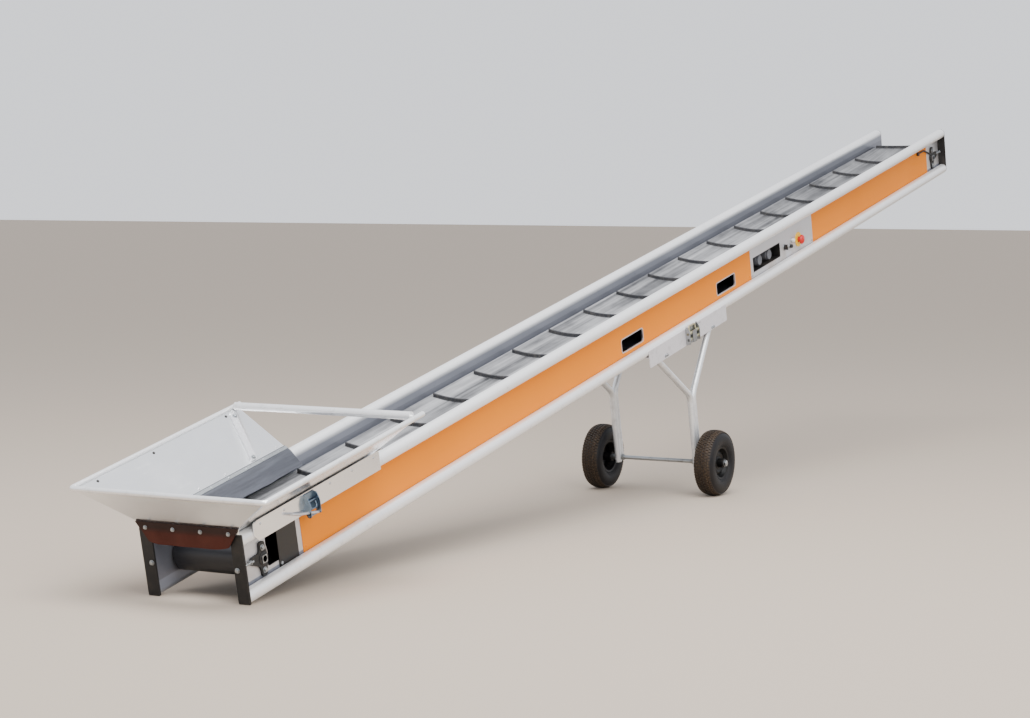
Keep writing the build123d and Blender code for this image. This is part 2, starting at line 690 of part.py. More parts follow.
# Motor cable: from a gland on the near panel to the bearing that carries the motor drum's shaft
cable_y = -(web_outer + PANEL_THICKNESS + CABLE_RADIUS + SEAT_GAP)
cable_end = head_drum_place - BEARING_WIDTH / 2 - CABLE_END_GAP
with BuildPart() as cable:
    with BuildLine() as cable_path:
        FilletPolyline(
            place(cable_end - CABLE_LENGTH, cable_y, CABLE_GLAND_HEIGHT),
            place(cable_end - CABLE_LENGTH / 2, cable_y, CABLE_GLAND_HEIGHT),
            place(cable_end, cable_y, CABLE_END_HEIGHT),
            radius=CABLE_BEND,
        )
    with BuildSketch(Plane(origin=cable_path.line @ 0, z_dir=cable_path.line % 0)):
        Circle(CABLE_RADIUS)
    sweep()
    with BuildSketch(side(-(web_outer + PANEL_THICKNESS + SEAT_GAP))):
        disc(cable_end - CABLE_LENGTH, CABLE_GLAND_HEIGHT, CABLE_GLAND_RADIUS)
    extrude(amount=CABLE_GLAND_LENGTH)
keep("motor_cable", cable)

# Dark cover plates behind the tail bearings
with BuildPart() as covers:
    for sign in SIGNS:
        with BuildSketch(side(sign * (web_outer + TAIL_COVER_THICKNESS / 2))):
            block(TAIL_COVER_START, TAIL_COVER_END, panel_bottom, panel_top)
    extrude(amount=TAIL_COVER_THICKNESS / 2, both=True)
keep("tail_covers", covers)

# Hopper side plates, from the rim tube down over the rails to the belt's edge
plate_top = HOPPER_RIM_RADIUS + SEAT_GAP
plate_foot = slope_reach(half_width - HOPPER_PLATE_INSET)
lip_reach = (rim_middle_h - HOPPER_LIP_TOP) / math.sin(plate_slope)
front_run = HOPPER_LIP_PLACE - rim_middle_s
front_start = rim_middle_s + front_run * plate_top / lip_reach
for side_name, sign in SIDES:
    with BuildPart() as plate:
        with BuildSketch(slope(sign)):
            Polygon(
                (front_start + HOPPER_RIM_BEND, plate_top),
                (HOPPER_PLATE_BACK, plate_top),
                (HOPPER_PLATE_BACK_FOOT, plate_foot),
                (HOPPER_LIP_PLACE + HOPPER_CORNER_GAP + SEAL_START, plate_foot),
                (HOPPER_LIP_PLACE + HOPPER_CORNER_GAP, lip_reach),
                align=None,
            )
        extrude(amount=HOPPER_SHEET / 2, both=True)
    keep(f"hopper_plate_{side_name}", plate)

# Hopper front plate: the sloped sheet and the bent lip that carries the rubber flap
front_slope = math.atan2(rim_middle_h - HOPPER_LIP_TOP, front_run)
front_reach = math.hypot(rim_middle_h - HOPPER_LIP_TOP, front_run)
front_down = s_axis * math.cos(front_slope) - h_axis * math.sin(front_slope)
front_plane = Plane(
    origin=place(rim_middle_s, 0, rim_middle_h), x_dir=y_axis, z_dir=y_axis.cross(front_down)
)
lip_half = rim_middle_y - lip_reach * math.cos(plate_slope)
top_half = rim_middle_y - (rim_middle_y - lip_half) * plate_top / front_reach
with BuildPart() as front_plate:
    with BuildSketch(front_plane):
        Polygon(
            (-top_half + HOPPER_CORNER_GAP, plate_top),
            (top_half - HOPPER_CORNER_GAP, plate_top),
            (lip_half - HOPPER_CORNER_GAP, front_reach),
            (-lip_half + HOPPER_CORNER_GAP, front_reach),
            align=None,
        )
    extrude(amount=HOPPER_SHEET / 2, both=True)
    with BuildSketch(across(HOPPER_LIP_PLACE - HOPPER_SHEET / 2)):
        block(
            -lip_half + HOPPER_CORNER_GAP,
            lip_half - HOPPER_CORNER_GAP,
            HOPPER_LIP_TOP - HOPPER_LIP_HEIGHT,
            HOPPER_LIP_TOP,
        )
    extrude(amount=HOPPER_SHEET)
keep("hopper_front_plate", front_plate)

# Hopper rim: one bent tube round the front and along both sides
with BuildPart() as rim:
    with BuildLine() as rim_path:
        FilletPolyline(
            place(HOPPER_RAIL_END, -rim_middle_y, rim_middle_h),
            place(rim_middle_s, -rim_middle_y, rim_middle_h),
            place(rim_middle_s, rim_middle_y, rim_middle_h),
            place(HOPPER_RAIL_END, rim_middle_y, rim_middle_h),
            radius=HOPPER_RIM_BEND,
        )
    with BuildSketch(Plane(origin=rim_path.line @ 0, z_dir=rim_path.line % 0)):
        Circle(HOPPER_RIM_RADIUS)
    sweep()
keep("hopper_rim", rim)

# Crossbar between the rim's rails, on spigots
crossbar_h = rim_middle_h + HOPPER_CROSSBAR_LIFT
crossbar_half = rim_middle_y - HOPPER_RIM_RADIUS - HOPPER_CROSSBAR_GAP
with BuildPart() as crossbar:
    with BuildSketch(side(0)):
        disc(HOPPER_CROSSBAR_PLACE, crossbar_h, HOPPER_CROSSBAR_RADIUS)
    extrude(amount=crossbar_half, both=True)
    with BuildSketch(side(0)):
        disc(HOPPER_CROSSBAR_PLACE, rim_middle_h + HOPPER_SPIGOT_LIFT, HOPPER_SPIGOT_RADIUS)
    extrude(amount=rim_middle_y - HOPPER_RIM_RADIUS - SEAT_GAP, both=True)
keep("hopper_crossbar", crossbar)

# Skirts outside the upper rails, each with a leg bent out under its hopper plate
leg_end_y = skirt_outer + HOPPER_SKIRT_LEG * math.cos(plate_slope)
leg_end_h = skirt_top + HOPPER_SKIRT_LEG * math.sin(plate_slope)
with BuildPart() as skirts:
    for sign in SIGNS:
        with BuildSketch(side(sign * (skirt_inner + HOPPER_SHEET / 2))):
            Polygon(
                (HOPPER_SKIRT_START + HOPPER_SKIRT_CUT, HOPPER_SKIRT_BOTTOM),
                (HOPPER_SKIRT_END, HOPPER_SKIRT_BOTTOM),
                (HOPPER_SKIRT_END, skirt_top),
                (HOPPER_SKIRT_START, skirt_top),
                (HOPPER_SKIRT_START, HOPPER_SKIRT_BOTTOM + HOPPER_SKIRT_CUT),
                align=None,
            )
        extrude(amount=HOPPER_SHEET / 2, both=True)
        with BuildSketch(across(HOPPER_SKIRT_START)):
            Polygon(
                (sign * skirt_inner, skirt_top - HOPPER_SHEET),
                (sign * skirt_outer, skirt_top - HOPPER_SHEET),
                (sign * leg_end_y, leg_end_h - HOPPER_SHEET),
                (sign * leg_end_y, leg_end_h),
                (sign * skirt_inner, skirt_top),
                align=None,
            )
        extrude(amount=HOPPER_SKIRT_END - HOPPER_SKIRT_START)
keep("hopper_skirts", skirts)

# Rubber seals on the inner feet of the side plates, hanging down to the belt
plate_top_face = HOPPER_SHEET / 2 + SEAT_GAP
plate_up = Vector(math.cos(plate_slope), math.sin(plate_slope))
plate_normal = Vector(-math.sin(plate_slope), math.cos(plate_slope))
seal_bend = Vector(rim_middle_y, rim_middle_h) - plate_up * plate_foot + plate_normal * plate_top_face
seal_head = seal_bend + plate_up * SEAL_OVERLAP
seal_tip = Vector(belt_half - SEAL_TIP_INSET, SEAL_TIP_HEIGHT)
seal_way = (seal_tip - seal_bend).normalized()
seal_corners = (
    seal_head,
    seal_bend,
    seal_tip,
    seal_tip + Vector(seal_way.Y, -seal_way.X) * SEAL_THICKNESS,
    seal_bend + plate_normal * SEAL_THICKNESS,
    seal_head + plate_normal * SEAL_THICKNESS,
)
with BuildPart() as seals:
    with BuildSketch(across(SEAL_START)):
        for sign in SIGNS:
            Polygon(*[(sign * corner.X, corner.Y) for corner in seal_corners], align=None)
    extrude(amount=HOPPER_PLATE_BACK_FOOT - SEAL_START)
keep("hopper_seals", seals)

# Rubber flap under the front plate, hanging in front of the end caps
flap_top_half = half_width + FLAP_TOP_OVERLAP
flap_tip_half = half_width - FLAP_TIP_INSET
with BuildPart() as flap:
    with BuildSketch(across(HOPPER_LIP_PLACE - HOPPER_SHEET / 2 - SEAT_GAP)):
        Polygon(
            (-flap_tip_half, FLAP_TIP_HEIGHT),
            (flap_tip_half, FLAP_TIP_HEIGHT),
            (flap_top_half, HOPPER_LIP_TOP - HOPPER_LIP_HEIGHT),
            (flap_top_half, HOPPER_LIP_TOP),
            (-flap_top_half, HOPPER_LIP_TOP),
            (-flap_top_half, HOPPER_LIP_TOP - HOPPER_LIP_HEIGHT),
            align=None,
        )
    extrude(amount=-SEAL_THICKNESS)
keep("front_flap", flap)

# Braces on the inside of the side plates
brace_top = HOPPER_RIM_RADIUS + BRACE_TOP_GAP
brace_foot = plate_foot - SEAL_OVERLAP - BRACE_SEAL_GAP
with BuildPart() as braces:
    for sign in SIGNS:
        with BuildSketch(slope(sign).offset(-sign * (plate_top_face + BRACE_THICKNESS / 2))):
            Polygon(
                (BRACE_TOP_PLACE - BRACE_WIDTH / 2, brace_top),
                (BRACE_TOP_PLACE + BRACE_WIDTH / 2, brace_top),
                (BRACE_FOOT_PLACE + BRACE_WIDTH / 2, brace_foot),
                (BRACE_FOOT_PLACE - BRACE_WIDTH / 2, brace_foot),
                align=None,
            )
    extrude(amount=BRACE_THICKNESS / 2, both=True)
keep("hopper_braces", braces)

# Over-centre latches that hold the hopper down on the rails
latch_start = LATCH_PLACE - LATCH_WIDTH / 2
latch_end = LATCH_PLACE + LATCH_WIDTH / 2
base_face = skirt_outer + SEAT_GAP
lever_turn = math.radians(LATCH_LEVER_TURN)
lever_way = h_axis * math.sin(lever_turn) - s_axis * math.cos(lever_turn)
lever_h = LATCH_BOTTOM + LATCH_PIN_RADIUS
with BuildPart() as latches:
    for sign in SIGNS:
        lever_y = sign * (base_face + LATCH_BASE_THICKNESS + LATCH_CHEEK_DEPTH / 2)
        with BuildSketch(side(sign * (base_face + LATCH_BASE_THICKNESS / 2))):
            block(latch_start, latch_end, HOPPER_SKIRT_BOTTOM, skirt_top - HOPPER_SHEET)
        extrude(amount=LATCH_BASE_THICKNESS / 2, both=True)
        with BuildSketch(side(sign * (base_face + LATCH_BASE_THICKNESS))):
            for cheek_start in (latch_start, latch_end - LATCH_CHEEK_THICKNESS):
                block(
                    cheek_start,
                    cheek_start + LATCH_CHEEK_THICKNESS,
                    LATCH_BOTTOM,
                    skirt_top - HOPPER_SHEET,
                )
        extrude(amount=-sign * LATCH_CHEEK_DEPTH)
        with BuildSketch(Plane(origin=place(latch_start, lever_y, lever_h), x_dir=y_axis, z_dir=s_axis)):
            Circle(LATCH_PIN_RADIUS)
        extrude(amount=LATCH_WIDTH)
        with BuildSketch(Plane(origin=place(latch_end, lever_y, lever_h), z_dir=lever_way)):
            Circle(LATCH_LEVER_RADIUS)
        extrude(amount=LATCH_LEVER_LENGTH)
keep("hopper_latches", latches)

# Chassis plates: an upright outside each lower rail and a ledge under it
chassis_inner = half_width + SEAT_GAP
with BuildPart() as chassis:
    for sign in SIGNS:
        with BuildSketch(side(sign * (chassis_inner + CHASSIS_THICKNESS / 2))):
            block(CHASSIS_START, CHASSIS_END, CHASSIS_BOTTOM, CHASSIS_TOP)
        extrude(amount=CHASSIS_THICKNESS / 2, both=True)
        with BuildSketch(side(sign * (chassis_inner - CHASSIS_LEDGE / 2))):
            block(CHASSIS_START, CHASSIS_END, -SEAT_GAP - CHASSIS_THICKNESS, -SEAT_GAP)
        extrude(amount=CHASSIS_LEDGE / 2, both=True)
keep("chassis_plates", chassis)

# Legs: two tubes side by side that part at the fork, each to its own end of the plate
leg_y = half_width - LEG_TUBE_RADIUS
leg_foot = axle_h - LEG_BELOW_AXLE
with BuildPart() as legs:
    for sign in SIGNS:
        for direction, top_place in zip((-1, 1), LEG_TOPS):
            tube_place = CARRIAGE_PLACE + direction * LEG_TUBE_SPACING / 2
            with BuildLine() as tube_path:
                FilletPolyline(
                    place(tube_place, sign * leg_y, leg_foot),
                    place(tube_place, sign * leg_y, LEG_FORK_HEIGHT),
                    place(top_place, sign * leg_y, LEG_TOP_HEIGHT),
                    radius=LEG_BEND_RADIUS,
                )
            with BuildSketch(Plane(origin=tube_path.line @ 0, z_dir=tube_path.line % 0)):
                Circle(LEG_TUBE_RADIUS)
            sweep(path=tube_path.line)
    with BuildSketch(side(0)):
        disc(CARRIAGE_PLACE, axle_h, AXLE_RADIUS + SEAT_GAP)
    extrude(amount=CONVEYOR_WIDTH, both=True, mode=Mode.SUBTRACT)
keep("legs", legs)

# Toggle clamps that grip the lower rails
clamp_face = chassis_inner + CHASSIS_THICKNESS + SEAT_GAP
clamp_h = (CHASSIS_BOTTOM + CHASSIS_TOP) / 2
with BuildPart() as clamps:
    for sign in SIGNS:
        with BuildSketch(side(sign * (clamp_face + CLAMP_CHEEK_THICKNESS / 2))):
            block(CLAMP_START, CLAMP_END, CHASSIS_BOTTOM, CHASSIS_TOP)
        extrude(amount=CLAMP_CHEEK_THICKNESS / 2, both=True)
        with BuildSketch(side(sign * (clamp_face + CLAMP_CHEEK_THICKNESS))):
            for cheek_start in (CLAMP_START, CLAMP_END - CLAMP_CHEEK_THICKNESS):
                block(cheek_start, cheek_start + CLAMP_CHEEK_THICKNESS, CHASSIS_BOTTOM, CLAMP_HOOK_HEIGHT)
        extrude(amount=-sign * CLAMP_DEPTH)
        for pin_h in (clamp_h - 2 * CLAMP_PIN_RADIUS, clamp_h + 2 * CLAMP_PIN_RADIUS):
            pin_y = sign * (clamp_face + CLAMP_DEPTH / 2)
            with BuildSketch(Plane(origin=place(CLAMP_START, pin_y, pin_h), x_dir=y_axis, z_dir=s_axis)):
                Circle(CLAMP_PIN_RADIUS)
            extrude(amount=CLAMP_END - CLAMP_START)
keep("chassis_clamps", clamps)

# Axle: one rod through both legs and both wheels, with its nuts and spacers
wheel_y = half_width + WHEEL_GAP + TYRE_WIDTH / 2
hub_inner = wheel_y - HUB_LENGTH / 2
hub_outer = wheel_y + HUB_LENGTH / 2
leg_inner = leg_y - LEG_TUBE_RADIUS
leg_outer = leg_y + LEG_TUBE_RADIUS
axle_half = hub_outer + SEAT_GAP + AXLE_NUT_LENGTH
with BuildPart() as axle:
    with BuildSketch(side(0)):
        disc(CARRIAGE_PLACE, axle_h, AXLE_RADIUS)
    extrude(amount=axle_half, both=True)
    for collar_start, collar_end in (
        (leg_inner - SEAT_GAP - AXLE_NUT_LENGTH, leg_inner - SEAT_GAP),
        (leg_outer + SEAT_GAP, hub_inner - SEAT_GAP),
        (hub_outer + SEAT_GAP, axle_half),
    ):
        for sign in SIGNS:
            with BuildSketch(side(sign * (collar_start + collar_end) / 2)):
                disc(CARRIAGE_PLACE, axle_h, AXLE_NUT_RADIUS)
            extrude(amount=(collar_end - collar_start) / 2, both=True)
keep("axle", axle)

# Wheels: a pneumatic tyre on a pressed rim with a long hub
for side_name, sign in SIDES:
    wheel_plane = Plane(
        origin=place(CARRIAGE_PLACE, sign * wheel_y, axle_h), x_dir=(0, 0, 1), z_dir=(1, 0, 0)
    )
    spin_axis = Axis(wheel_plane.origin, y_axis)
    half_profile = (
        (WHEEL_RADIUS, TYRE_TREAD_WIDTH / 2),
        (WHEEL_RADIUS - TYRE_SIDE_DEPTH, TYRE_WIDTH / 2),
        (TYRE_BEAD_RADIUS, TYRE_WIDTH / 2),
    )
    with BuildPart() as tyre:
        with BuildSketch(wheel_plane):
            Polygon(*half_profile, *[(r, -y) for r, y in reversed(half_profile)], align=None)
        revolve(axis=spin_axis)
    keep(f"tyre_{side_name}", tyre)

    barrel_outer = TYRE_BEAD_RADIUS - SEAT_GAP
    barrel_inner = barrel_outer - RIM_WALL
    with BuildPart() as rim_wheel:
        with BuildSketch(wheel_plane):
            block(AXLE_RADIUS + BORE_CLEARANCE, HUB_RADIUS, -HUB_LENGTH / 2, HUB_LENGTH / 2)
            block(HUB_RADIUS, barrel_inner, -RIM_DISC_THICKNESS / 2, RIM_DISC_THICKNESS / 2)
            block(barrel_inner, barrel_outer, -RIM_WIDTH / 2, RIM_WIDTH / 2)
        revolve(axis=spin_axis)
    keep(f"rim_{side_name}", rim_wheel)

# Export, one file for each piece
os.makedirs("parts", exist_ok=True)
for name, part in nodes.items():
    export_step(part, f"parts/{name}.step")
print(len(nodes), "pieces written")
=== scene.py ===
import math
import random
import bmesh
import bpy
from mathutils import Matrix, Vector


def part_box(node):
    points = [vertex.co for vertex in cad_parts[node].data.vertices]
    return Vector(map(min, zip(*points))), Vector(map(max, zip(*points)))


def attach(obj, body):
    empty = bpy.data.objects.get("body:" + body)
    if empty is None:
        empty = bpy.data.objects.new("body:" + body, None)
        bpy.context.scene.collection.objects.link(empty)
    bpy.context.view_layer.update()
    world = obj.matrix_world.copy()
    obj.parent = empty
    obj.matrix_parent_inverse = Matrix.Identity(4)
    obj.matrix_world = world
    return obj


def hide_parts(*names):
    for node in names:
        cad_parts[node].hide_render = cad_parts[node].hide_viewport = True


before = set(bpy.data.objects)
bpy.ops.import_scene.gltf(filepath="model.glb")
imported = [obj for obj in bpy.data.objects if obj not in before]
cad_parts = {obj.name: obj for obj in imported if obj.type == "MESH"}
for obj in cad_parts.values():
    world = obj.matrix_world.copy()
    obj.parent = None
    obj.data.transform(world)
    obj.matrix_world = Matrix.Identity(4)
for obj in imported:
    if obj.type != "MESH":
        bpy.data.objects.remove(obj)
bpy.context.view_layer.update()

# Rails and webs
# The side frames are extruded aluminium left in its mill finish: faint lines run along the extrusion
# and scuffs show where hands and straps have rubbed. Their inner faces are painted darker: painted
# shade and reflection of the dark belt. Places on the sloping frame are s along it, y across it and
# h above its underside.
INCLINE = math.radians(12.4)
CHANNEL_HEIGHT = 0.215
# Reaches of the painted shade on the inner faces: across the rails, under their crown, and across the webs.
RAIL_SHADE_ACROSS = (0.147, 0.156)
RAIL_SHADE_TOP = (0.186, 0.2)
WEB_SHADE_ACROSS = (0.1435, 0.1445)
WEB_DUST_HEIGHTS = (0.04, 0.16)
along = Vector((math.cos(INCLINE), 0, math.sin(INCLINE)))
above = Vector((-math.sin(INCLINE), 0, math.cos(INCLINE)))
sideways = Vector((0, 1, 0))
foot_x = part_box("tail_caps")[0].x + CHANNEL_HEIGHT * math.sin(INCLINE)


class Value:
    """A node's socket that takes arithmetic, so that a pattern reads as a formula."""

    def __init__(self, graph, socket):
        self.graph = graph
        self.socket = socket

    def __add__(self, other):
        return self.graph.maths("ADD", self, other)

    def __sub__(self, other):
        return self.graph.maths("SUBTRACT", self, other)

    def __rsub__(self, other):
        return self.graph.maths("SUBTRACT", other, self)

    def __mul__(self, other):
        return self.graph.maths("MULTIPLY", self, other)

    __radd__ = __add__
    __rmul__ = __mul__

    def over(self, start, end):
        """0 up to start, 1 from end on, and a straight ramp between them."""
        return self.graph.maths("MULTIPLY", self - start, 1 / (end - start), clamp=True)


class Graph:
    """A tree of nodes, written as nested calls."""

    def __init__(self, tree):
        self.tree = tree

    def node(self, kind, settings=(), inputs=(), output=0):
        """Add a node of a kind, with its settings first and then its sockets."""
        made = self.tree.nodes.new(kind)
        for key, value in dict(settings).items():
            setattr(made, key, value)
        self.feed(made, inputs)
        return Value(self, made.outputs[output])

    def feed(self, made, inputs):
        """Link a node's inputs to Values, or set them to plain values."""
        for key, value in dict(inputs).items():
            if isinstance(value, Value):
                self.tree.links.new(value.socket, made.inputs[key])
            else:
                made.inputs[key].default_value = value

    def maths(self, operation, first, second=0.0, clamp=False):
        settings = {"operation": operation, "use_clamp": clamp}
        return self.node("ShaderNodeMath", settings, {0: first, 1: second})


def tint(red, green, blue):
    """Linear colour from a screen's 0 to 255 values."""
    return tuple((c / 255) ** 2.2 for c in (red, green, blue)) + (1.0,)


class Paint(Graph):
    """A Principled material whose patterns are written as formulas on Values."""

    def __init__(self, name):
        self.material = bpy.data.materials.new(name)
        self.material.use_nodes = True
        super().__init__(self.material.node_tree)
        self.shader = self.tree.nodes["Principled BSDF"]
        self.place = self.node("ShaderNodeTexCoord", output=3)

    def finish(self, colour, roughness, relief, **looks):
        """Colour as a share and two colours, roughness, relief as a pattern and its depth, and more."""
        looks = {key.replace("_", " "): value for key, value in looks.items()}
        looks.update({"Base Color": self.blend(*colour), "Normal": self.bump(*relief)})
        self.feed(self.shader, {"Roughness": roughness, **looks})
        return self.material

    def sloping(self):
        """Place along, across and above the sloping frame."""
        start = (-foot_x * along.x, 0, foot_x * along.z)
        inputs = {"Vector": self.place, "Rotation": (0, INCLINE, 0), "Location": start}
        return self.node("ShaderNodeMapping", inputs=inputs)

    def part(self, axis):
        """One coordinate on the sloping frame: 0 along, 1 across or 2 above it."""
        return self.node("ShaderNodeSeparateXYZ", inputs={0: self.sloping()}, output=axis)

    def noise(self, scale, detail=3.0, roughness=0.5, stretch=None):
        """Cloudy pattern from 0 to 1; stretch squeezes it along, across and above the frame."""
        place = self.place
        if stretch:
            factors = {0: self.sloping(), 1: stretch}
            place = self.node("ShaderNodeVectorMath", {"operation": "MULTIPLY"}, factors)
        inputs = {"Vector": place, "Scale": scale, "Detail": detail, "Roughness": roughness}
        return self.node("ShaderNodeTexNoise", inputs=inputs)

    def blend(self, share, first, second):
        """Colour that goes from first to second as share goes from 0 to 1."""
        first, second = (c if isinstance(c, Value) else tint(*c) for c in (first, second))
        inputs = {0: share, 6: first, 7: second}
        return self.node("ShaderNodeMix", {"data_type": "RGBA"}, inputs, output=2)

    def bump(self, height, distance):
        inputs = {"Height": height, "Strength": 1.0, "Distance": distance}
        return self.node("ShaderNodeBump", inputs=inputs)


def dress(material, *nodes):
    """Give CAD nodes that stay in view a finish, on their object's own slots."""
    for name in nodes:
        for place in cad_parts[name].material_slots:
            place.link = "OBJECT"
            place.material = material


paint = Paint("mill_aluminium")
drawn_lines = paint.noise(1.0, 4.0, 0.6, (2, 700, 700))
scuffs = paint.noise(28.0, 7.0, 0.72).over(0.56, 0.74)
dull = paint.noise(2.2, 3.0).over(0.35, 0.75)
# Painted shade: the rail's inner side below its crown is darkened to blue-grey (98, 103, 118) for the shade
# and the dark belt's reflection there.
shade_side = 1 - paint.maths("ABSOLUTE", paint.part(1)).over(*RAIL_SHADE_ACROSS)
painted_shade_inner = shade_side * (1 - paint.part(2).over(*RAIL_SHADE_TOP))
clean_metal = paint.blend(scuffs * 0.6 + dull * 0.25, (246, 246, 246), (204, 204, 207))
mill_aluminium = paint.finish(
    colour=(painted_shade_inner * 0.85, clean_metal, (98, 103, 118)),
    Metallic=0.5,
    roughness=0.28 + drawn_lines * 0.14 + scuffs * 0.2,
    relief=(drawn_lines * 0.7 + scuffs * 0.3, 0.0003),
)
dress(mill_aluminium, "bottom_rails", "top_rails")

# The webs are the same metal, with painted shade darkening their inner faces in the recess, and
# with sand dust gathered low down.
paint = Paint("web_aluminium")
drawn_lines = paint.noise(1.0, 4.0, 0.6, (2, 500, 500))
dust = (1 - paint.part(2).over(*WEB_DUST_HEIGHTS)) * paint.noise(9.0, 6.0, 0.65).over(0.35, 0.7)
# Painted shade: the web's inner face in the recess is darkened to blue-grey (92, 96, 110).
painted_shade_inner = 1 - paint.maths("ABSOLUTE", paint.part(1)).over(*WEB_SHADE_ACROSS)
dusty_metal = paint.blend(dust * 0.6, (208, 208, 211), (180, 160, 136))
web_aluminium = paint.finish(
    colour=(painted_shade_inner * 0.8, dusty_metal, (92, 96, 110)),
    Metallic=0.75,
    roughness=0.34 + drawn_lines * 0.14 + dust * 0.3,
    relief=(drawn_lines, 0.0003),
)
dress(web_aluminium, "side_web_near", "side_web_far")

# Orange panels
# Thin painted aluminium sheets riveted on the webs, cut out round the carrying slots, whose edges
# are covered by a bright folded rim. The paint is smooth, with a few chips and rubbed marks.
PANEL_FACE = 0.1485
PANEL_TOP = 0.177
PANEL_BOTTOM = 0.038
PANEL_SPANS = ((-1, 0.345, 3.711), (-1, 4.377, 5.83), (1, 0.345, 5.83))
WORN_EDGE = 0.004
SLOT_PLACES = (2.6, 3.458)
SLOT_LENGTH = 0.178
SLOT_HEIGHT = 0.048
SLOT_MIDDLE = 0.081
SLOT_CORNER = 0.009
SLOT_RIM_WIDTH = 0.004
SLOT_RIM_LIFT = 0.0012
SLOT_RIM_DEPTH = 0.0045
PANEL_RIVET = 0.0032
PANEL_RIVET_INSET = 0.016


def spot(s, y, h):
    """Row frame point of a place on the conveyor's frame."""
    return Vector((foot_x, y, 0)) + along * s + above * h


def circle(middle, normal, other, radius, sides):
    """Ring of points round a middle, in the plane of two directions."""
    angles = [math.tau * k / sides for k in range(sides)]
    return [middle + (normal * math.cos(a) + other * math.sin(a)) * radius for a in angles]


class Shape:
    """Mesh of one piece, gathered from lofts, tubes and plates placed in the row frame."""

    def __init__(self):
        self.mesh = bmesh.new()

    def loft(self, rings, looped=False):
        """Skin between rings of equal length; the end rings are filled unless it is looped."""
        rows = [[self.mesh.verts.new(point) for point in ring] for ring in rings]
        pairs = list(zip(rows, rows[1:]))
        if looped:
            pairs.append((rows[-1], rows[0]))
        else:
            self.mesh.faces.new(rows[0])
            self.mesh.faces.new(rows[-1])
        for first, second in pairs:
            for i in range(len(first)):
                j = (i + 1) % len(first)
                self.mesh.faces.new((first[i], first[j], second[j], second[i]))

    def tube(self, path, radius, sides=24):
        """Round bar along a path, with its ends closed."""
        rings = []
        normal = (path[1] - path[0]).orthogonal().normalized()
        for i, point in enumerate(path):
            ahead = (path[min(i + 1, len(path) - 1)] - path[max(i - 1, 0)]).normalized()
            normal = (normal - ahead * normal.dot(ahead)).normalized()
            rings.append(circle(point, normal, ahead.cross(normal), radius, sides))
        self.loft(rings)

    def turned(self, middle, axis, profile, sides=32, looped=False):
        """Round piece: profile lists distances along the axis and radii."""
        normal = axis.orthogonal().normalized()
        other = axis.cross(normal)
        rings = [circle(middle + axis * step, normal, other, radius, sides) for step, radius in profile]
        self.loft(rings, looped)

    def plate(self, outline, depth, holes=()):
        """Flat plate with holes: loops of points in the row frame, thick by the vector depth."""
        edges = []
        for loop in (outline, *holes):
            row = [self.mesh.verts.new(point) for point in loop]
            edges += [self.mesh.edges.new((row[i], row[i - 1])) for i in range(len(row))]
        front = bmesh.ops.triangle_fill(self.mesh, use_beauty=True, use_dissolve=False, edges=edges)
        faces = [f for f in front["geom"] if isinstance(f, bmesh.types.BMFace)]
        raised = bmesh.ops.extrude_face_region(self.mesh, geom=faces, use_keep_orig=True)
        moved = [v for v in raised["geom"] if isinstance(v, bmesh.types.BMVert)]
        bmesh.ops.translate(self.mesh, verts=moved, vec=depth)

    def face_outward(self):
        """Turn every closed shell whose faces all look inward."""
        left = set(self.mesh.faces)
        while left:
            shell = [left.pop()]
            for face in shell:
                for edge in face.edges:
                    joined = [other for other in edge.link_faces if other in left]
                    left.difference_update(joined)
                    shell.extend(joined)
            volume = 0.0
            for face in shell:
                first, *others = (corner.co for corner in face.verts)
                volume += sum(first.dot(a.cross(b)) for a, b in zip(others, others[1:]))
            if volume < 0:
                bmesh.ops.reverse_faces(self.mesh, faces=shell)

    def data(self, name, sharp=None):
        """Mesh with its faces outward: smooth but for edges over an angle, or flat without one."""
        bmesh.ops.recalc_face_normals(self.mesh, faces=self.mesh.faces)
        self.face_outward()
        data = bpy.data.meshes.new(name)
        self.mesh.to_mesh(data)
        self.mesh.free()
        if sharp:
            data.shade_smooth()
            data.set_sharp_from_angle(angle=math.radians(sharp))
        return data

    def pattern(self, name, sharp=None):
        """Hidden object that can be set out on many places."""
        return bpy.data.objects.new(name, self.data(name, sharp))

    def finish(self, name, material, body="conveyor", bevel=0.0, replaces=(), sharp=35.0):
        """Close the mesh, make it an object that rides on a body, and stand it for CAD nodes."""
        bmesh.ops.remove_doubles(self.mesh, verts=self.mesh.verts, dist=1e-6)
        data = self.data(name, sharp)
        data.materials.append(material)
        made = bpy.data.objects.new(name, data)
        bpy.context.scene.collection.objects.link(made)
        if bevel:
            rounding = made.modifiers.new("rounding", "BEVEL")
            rounding.width = bevel
            rounding.segments = 2
            rounding.limit_method = "ANGLE"
            rounding.angle_limit = math.radians(40)
            rounding.harden_normals = True
        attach(made, body)
        if replaces:
            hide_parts(*replaces)


def arc(start, corner, end, steps):
    """Points of a curve from start to end that is drawn towards a corner."""
    shares = [k / steps for k in range(steps + 1)]
    return [start * (1 - t) ** 2 + corner * 2 * t * (1 - t) + end * t**2 for t in shares]


def softened(corners, reach, steps=4):
    """Closed outline with each corner of a polygon rounded off over a reach."""
    outline = []
    for i, corner in enumerate(corners):
        before, after = corners[i - 1], corners[(i + 1) % len(corners)]
        start = corner + (before - corner) * min(0.5, reach / (before - corner).length)
        end = corner + (after - corner) * min(0.5, reach / (after - corner).length)
        outline += arc(start, corner, end, steps)
    return outline


def box_outline(start, end, bottom, top, y, reach):
    """Upright rectangle on the frame's side with rounded corners."""
    corners = [spot(s, y, h) for s, h in ((start, bottom), (end, bottom), (end, top), (start, top))]
    return softened(corners, reach, steps=6)


def fixing(s, h, sign, face):
    """Place of a fastener on a side of the frame: its foot, its outward aim and no set turn."""
    return spot(s, sign * face, h), sideways * sign, None


def corner_fixings(start, end, sign, inset):
    """Fasteners in the four corners of a panel between two places along the frame."""
    return [
        fixing(s, h, sign, PANEL_FACE)
        for s in (start + inset, end - inset)
        for h in (PANEL_BOTTOM + inset, PANEL_TOP - inset)
    ]


